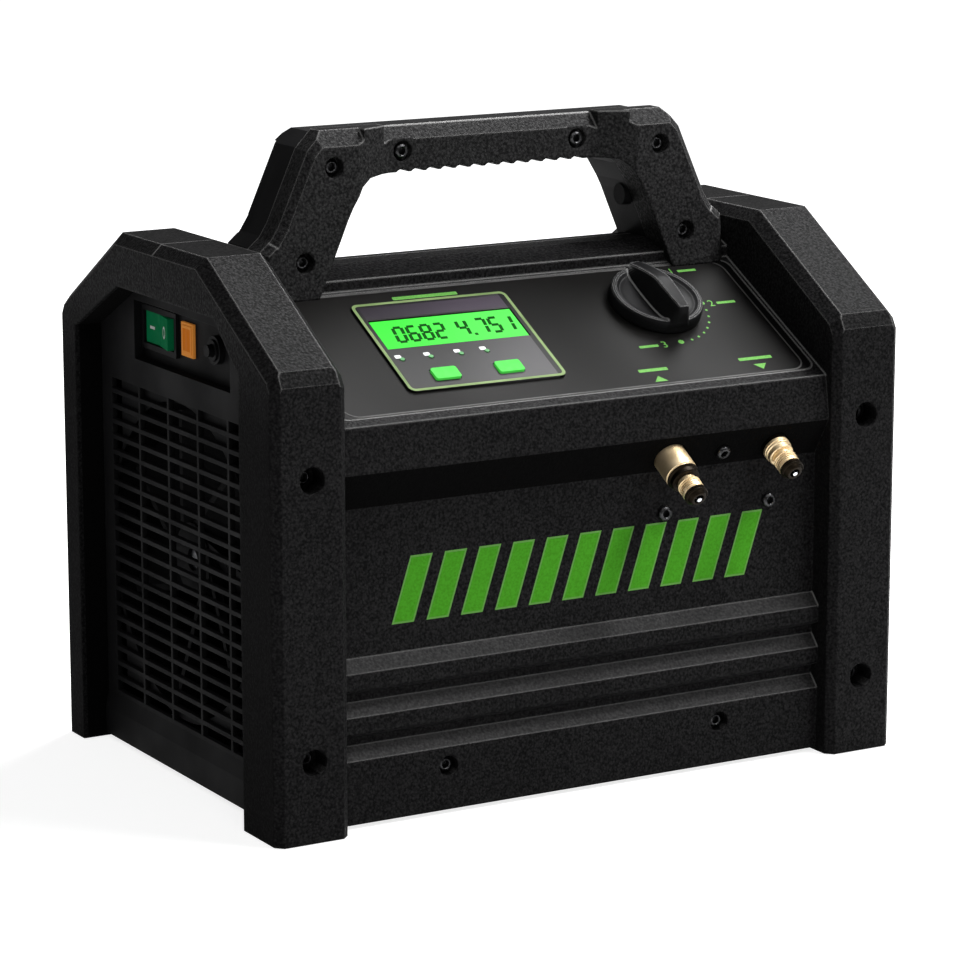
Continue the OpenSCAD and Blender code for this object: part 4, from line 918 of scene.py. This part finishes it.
ink = glowing_ink("ink_green", 0.7 * MM, ((0.065, 0.2, 0.035, 1), (0.11, 0.28, 0.065, 1)),
                  ((0.1, 0.4, 0.06, 1), (0.15, 0.5, 0.1, 1)), 0.08)
INK = 0.06
DIAL_X, DIAL_S, DIAL_R = 78, 71, 31
STOPS = (90, 0, -90)
STOP_SIZE = 3.4
CAPTIONS = ((-49.5, 100, 39, 2.6), (116, 100.6, 12, 1.9), (124, 69.8, 12, 1.9), (57, 39, 12, 1.9),
            (48.5, 19.4, 18, 2.4), (113.8, 20, 21, 2.4))
ARROWS = ([(44.5, 9.4), (52.5, 9.4), (48.5, 14)], [(109.8, 15), (117.8, 15), (113.8, 10.4)])

marks = bmesh.new()
for x, s, w, h in CAPTIONS:
    slab(marks, soft_outline(w, h, 0.5, (x, s), 3), 0, INK)
for arrow in ARROWS:
    slab(marks, arrow, 0, INK)
for angle in STOPS:
    stop = (DIAL_X + DIAL_R * math.cos(math.radians(angle)),
            DIAL_S + DIAL_R * math.sin(math.radians(angle)))
    slab(marks, soft_outline(STOP_SIZE, STOP_SIZE, 1.69, stop, 5), 0, INK)
marks_mesh = mesh_from("panel_marks", marks, on_slope())
add_piece("panel_marks", marks_mesh, ink, "machine", smooth=0)

DOTS = {"Arc Radius": DIAL_R * MM, "Dot Radius": 0.75 * MM, "Dots": 7}
start, inputs = new_tree("dial_dots", DOTS)
arc = start.node("GeometryNodeCurveArc", {"mode": "RADIUS"},
                 {"Resolution": 64, "Radius": inputs["Arc Radius"],
                  "Start Angle": math.radians(-12), "Sweep Angle": math.radians(-64)})
spots = start.node("GeometryNodeCurveToPoints", {"mode": "COUNT"},
                   {"Curve": arc, "Count": inputs["Dots"]})
dot = start.node("GeometryNodeMeshCylinder", None,
                 {"Vertices": 12, "Radius": inputs["Dot Radius"], "Depth": 2 * INK * MM})
dots = start.node("GeometryNodeInstanceOnPoints", None, {"Points": spots, "Instance": dot})
dots_mesh = grow(close_tree(start, dots, ink), DOTS)
dots_mesh.transform(SLOPE @ Matrix.Translation((DIAL_X * MM, DIAL_S * MM, 0)))
add_piece("dial_dots", dots_mesh, None, "machine", smooth=0)

NUMBER_SIZE, NUMBER_HALF = 7.5, 0.03


def number(text, x, s):
    curve = bpy.data.curves.new("number", "FONT")
    curve.body = text
    curve.size = NUMBER_SIZE
    curve.extrude = NUMBER_HALF
    curve.align_x = "CENTER"
    curve.align_y = "CENTER"
    mesh = plain_mesh(bpy.data.objects.new("number", curve))
    mesh.transform(on_slope(x, s, NUMBER_HALF))
    return mesh


for text, x, s in (("1", 106, 100.6), ("2", 114.5, 69.8), ("3", 67, 39)):
    add_piece("dial_number_" + text, number(text, x, s), ink, "machine", smooth=0)

# %% [markdown]
# ## Bezel outline and symbols
# A pale green line frames the bezel, and a grey ring round the whole panel is a painted highlight
# along its raised edge. Both are thin closed rings, made by one helper. Four small white symbols
# sit beside the status lamps.

# %% Draw the bezel outline and symbols
outline_look = glowing_ink("outline_pale_green", 20 * MM,
                           ((0.105, 0.155, 0.06, 1), (0.16, 0.22, 0.095, 1)),
                           ((0.3, 0.5, 0.2, 1), (0.4, 0.6, 0.3, 1)), 0.05)
BEZEL_MIDDLE, BEZEL_TOP = (-50, 59), 1.2
PANEL_MIDDLE = (0, 57)
SYMBOL_S = 50.4


def line_ring(name, outer, inner, low, high):
    ring = bmesh.new()
    rims = ((outer, low), (outer, high), (inner, high), (inner, low))
    levels = [[ring.verts.new((x, y, h)) for x, y in points] for points, h in rims]
    for near, far in zip(levels, levels[1:] + levels[:1]):
        join_rings(ring, near, far)
    return mesh_from(name, ring, on_slope())


ring_mesh = line_ring("bezel_outline", soft_outline(93.6, 74.6, 3.8, BEZEL_MIDDLE),
                      soft_outline(90.2, 71.2, 2.4, BEZEL_MIDDLE), BEZEL_TOP, BEZEL_TOP + 0.08)
add_piece("bezel_outline", ring_mesh, outline_look, "machine", smooth=0)
# The grey ring round the panel is a painted highlight along its raised edge.
panel_highlight_look = Finish("panel_highlight_grey", {"Roughness": 0.5, "Specular IOR Level": 0.02})
panel_highlight_tone = panel_highlight_look.noise(20 * MM, 2.0).ramp(0.3, 0.7)
panel_highlight_tone = panel_highlight_tone.tint((0.05, 0.05, 0.049, 1), (0.085, 0.084, 0.083, 1))
panel_highlight_look.feed("Base Color", panel_highlight_tone)
panel_highlight_mesh = line_ring("panel_border", soft_outline(281, 100.2, 9, PANEL_MIDDLE),
                        soft_outline(279.2, 98.4, 8.1, PANEL_MIDDLE), 0, 0.12)
add_piece("panel_border", panel_highlight_mesh, panel_highlight_look, "machine", smooth=0)

symbol_look = printed("symbol_white", 1.0 * MM, (0.45, 0.46, 0.46, 1), (0.75, 0.76, 0.76, 1))
symbols = bmesh.new()
for x in (-90.4, -73.4, -55.4, -39.9):
    slab(symbols, soft_outline(3.6, 2.6, 0.6, (x, SYMBOL_S), 3), BEZEL_TOP, BEZEL_TOP + INK)
symbols_mesh = mesh_from("lamp_symbols", symbols, on_slope())
add_piece("lamp_symbols", symbols_mesh, symbol_look, "machine", smooth=0)

# %% [markdown]
# ## Display digits
# A liquid crystal shows seven bars per digit. Each digit is the set of bars that its number
# needs, leaned a little. The numbers are this lesson's own.

# %% Set the digits
digit_look = printed("digit_dark_green", 0.8 * MM, (0.002, 0.04, 0.003, 1),
                     (0.004, 0.06, 0.005, 1), roughness=0.6, specular=0.01)
SEGMENTS = {"0": "abcdef", "1": "bc", "2": "abged", "4": "fgbc", "5": "afgcd", "6": "afgedc",
            "7": "abc", "8": "abcdefg"}
DIGIT_W, DIGIT_H, BAR, GAP, DIGIT_LEAN = 5.0, 12.0, 2.0, 0.4, 0.12
GLASS_TOP, DIGIT_UP = 0.6, 0.05


def bar_limits(letter):
    if letter in "agd":
        y = {"a": DIGIT_H, "g": DIGIT_H / 2, "d": 0}[letter]
        return GAP, DIGIT_W - GAP, y - BAR / 2, y + BAR / 2
    x = 0 if letter in "ef" else DIGIT_W
    low = GAP if letter in "ec" else DIGIT_H / 2 + GAP
    return x - BAR / 2, x + BAR / 2, low, low + DIGIT_H / 2 - 2 * GAP


def digit_bars(shape, text, x, s):
    for letter in SEGMENTS[text]:
        left, right, low, high = bar_limits(letter)
        corners = ((left, low), (right, low), (right, high), (left, high))
        leaned = [(x + px + DIGIT_LEAN * py, s + py) for px, py in corners]
        slab(shape, leaned, GLASS_TOP, GLASS_TOP + DIGIT_UP)


digits = bmesh.new()
for text, x in zip("0682", (-83, -75, -67, -59)):
    digit_bars(digits, text, x, 63)
for text, x in zip("4751", (-45, -33.5, -25.5, -17.5)):
    digit_bars(digits, text, x, 63.6)
point = soft_outline(1.9, 1.9, 0.4, (-36.6, 63.4), 2)
slab(digits, point, GLASS_TOP, GLASS_TOP + DIGIT_UP)
digits_mesh = mesh_from("display_digits", digits, on_slope())
add_piece("display_digits", digits_mesh, digit_look, "machine", smooth=0)

# %% [markdown]
# ## Front bars
# The front carries a row of plain green bars that lean, with a paler edge. A node tree sets one bar
# beside the next, and a second, slightly larger row behind them makes the edge.

# %% Print the front bars
front_ink = Finish("front_green", {"Specular IOR Level": 0.02})
front_wear = front_ink.noise(1.3 * MM, 3.0)
front_tone = front_wear.ramp(0.25, 0.75).tint((0.042, 0.21, 0.01, 1), (0.056, 0.27, 0.016, 1))
front_ink.feed("Base Color", front_tone)
front_ink.feed("Roughness", front_wear.ramp(0.3, 0.7, 0.52, 0.42))
front_edge = printed("front_edge_green", 1.3 * MM, (0.08, 0.22, 0.045, 1), (0.12, 0.28, 0.07, 1),
                     detail=3.0)
LEAN = 0.32
BARS_Z = 121
BARS = {"Bars": 11, "Pitch": 20.4 * MM, "Bar Width": 11 * MM, "Bar Height": 33 * MM,
        "Proud": 0.12 * MM}
EDGES = {**BARS, "Bar Width": 13 * MM, "Bar Height": 35 * MM, "Proud": 0.06 * MM}


def front_bars(name, finish, sizes):
    start, inputs = new_tree(name, sizes)
    half_row = -0.5 * (inputs["Bars"] - 1) * inputs["Pitch"]
    first = start.node("ShaderNodeCombineXYZ", None, {0: half_row})
    step = start.node("ShaderNodeCombineXYZ", None, {0: inputs["Pitch"]})
    row = start.node("GeometryNodeMeshLine", {"mode": "OFFSET"},
                     {"Count": inputs["Bars"], "Start Location": first, "Offset": step})
    size = start.node("ShaderNodeCombineXYZ", None,
                      {0: inputs["Bar Width"], 1: inputs["Proud"], 2: inputs["Bar Height"]})
    bar = start.node("GeometryNodeMeshCube", None, {"Size": size})
    bars = start.node("GeometryNodeInstanceOnPoints", None, {"Points": row, "Instance": bar})
    solid = start.node("GeometryNodeRealizeInstances", None, {"Geometry": bars})
    height = start.node("GeometryNodeInputPosition").part(2)
    shift = start.node("ShaderNodeCombineXYZ", None, {0: height * LEAN})
    leaned = start.node("GeometryNodeSetPosition", None, {"Geometry": solid, "Offset": shift})
    mesh = grow(close_tree(start, leaned, finish), sizes)
    mesh.transform(Matrix.Translation((0, FRONT_Y * MM, BARS_Z * MM)))
    add_piece(name, mesh, None, "machine", smooth=0)


front_bars("front_bars", front_ink, BARS)
front_bars("front_bar_edges", front_edge, EDGES)

# %% [markdown]
# ## Switch marks
# The rocker shows a line for on and a ring for off. They ride on the rocker, so they tip with it.
# Its face is a shallow V, so the marks rise with the distance from its middle.

# %% Mark the rocker
mark_look = printed("mark_white", 0.8 * MM, (0.5, 0.52, 0.5, 1), (0.72, 0.74, 0.72, 1))
ROCKER_AXIS = (-161.5, 42.5, 238)
ROCKER_TILT = math.radians(6)
FACE_MIDDLE, FACE_RISE, FACE_HALF, MARK_UP = 8, 1.6, 16.5, 0.05
RING_Y, RING_RADII, RING_SQUEEZE, RING_STEPS = -9, (3.4, 2.2), 0.72, 24
DASH = [(6.0, -0.8), (12.0, -0.8), (12.0, 0.8), (6.0, 0.8)]
rocker_place = Matrix.Translation([v * MM for v in ROCKER_AXIS]) @ Matrix.Scale(-1, 4, (1, 0, 0))
rocker_place = rocker_place @ Matrix.Rotation(ROCKER_TILT, 4, "Z") @ Matrix.Scale(MM, 4)


def on_rocker(shape, points):
    return [shape.verts.new((FACE_MIDDLE + abs(y) * FACE_RISE / FACE_HALF + MARK_UP, y, z))
            for y, z in points]


rocker_marks = bmesh.new()
rocker_marks.faces.new(on_rocker(rocker_marks, DASH))
loops = [on_rocker(rocker_marks, [(RING_Y + r * RING_SQUEEZE * math.cos(t), r * math.sin(t))
                                  for t in round_turn(RING_STEPS)]) for r in RING_RADII]
join_rings(rocker_marks, *loops)
rocker_mesh = mesh_from("rocker_marks", rocker_marks, rocker_place)
for polygon in rocker_mesh.polygons:
    if polygon.normal.x > 0:
        polygon.flip()
add_piece("rocker_marks", rocker_mesh, mark_look, "rocker", smooth=0)

# %% [markdown]
# ## Sizes
# The last cell prints the size of the CAD model and of the dressed model side by side, so the two
# can be compared.

# %% Print the sizes
visual_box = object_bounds()
for title, box in (("cad", cad_box), ("visual", visual_box)):
    print(title, [[round(v, 4) for v in p] for p in box])
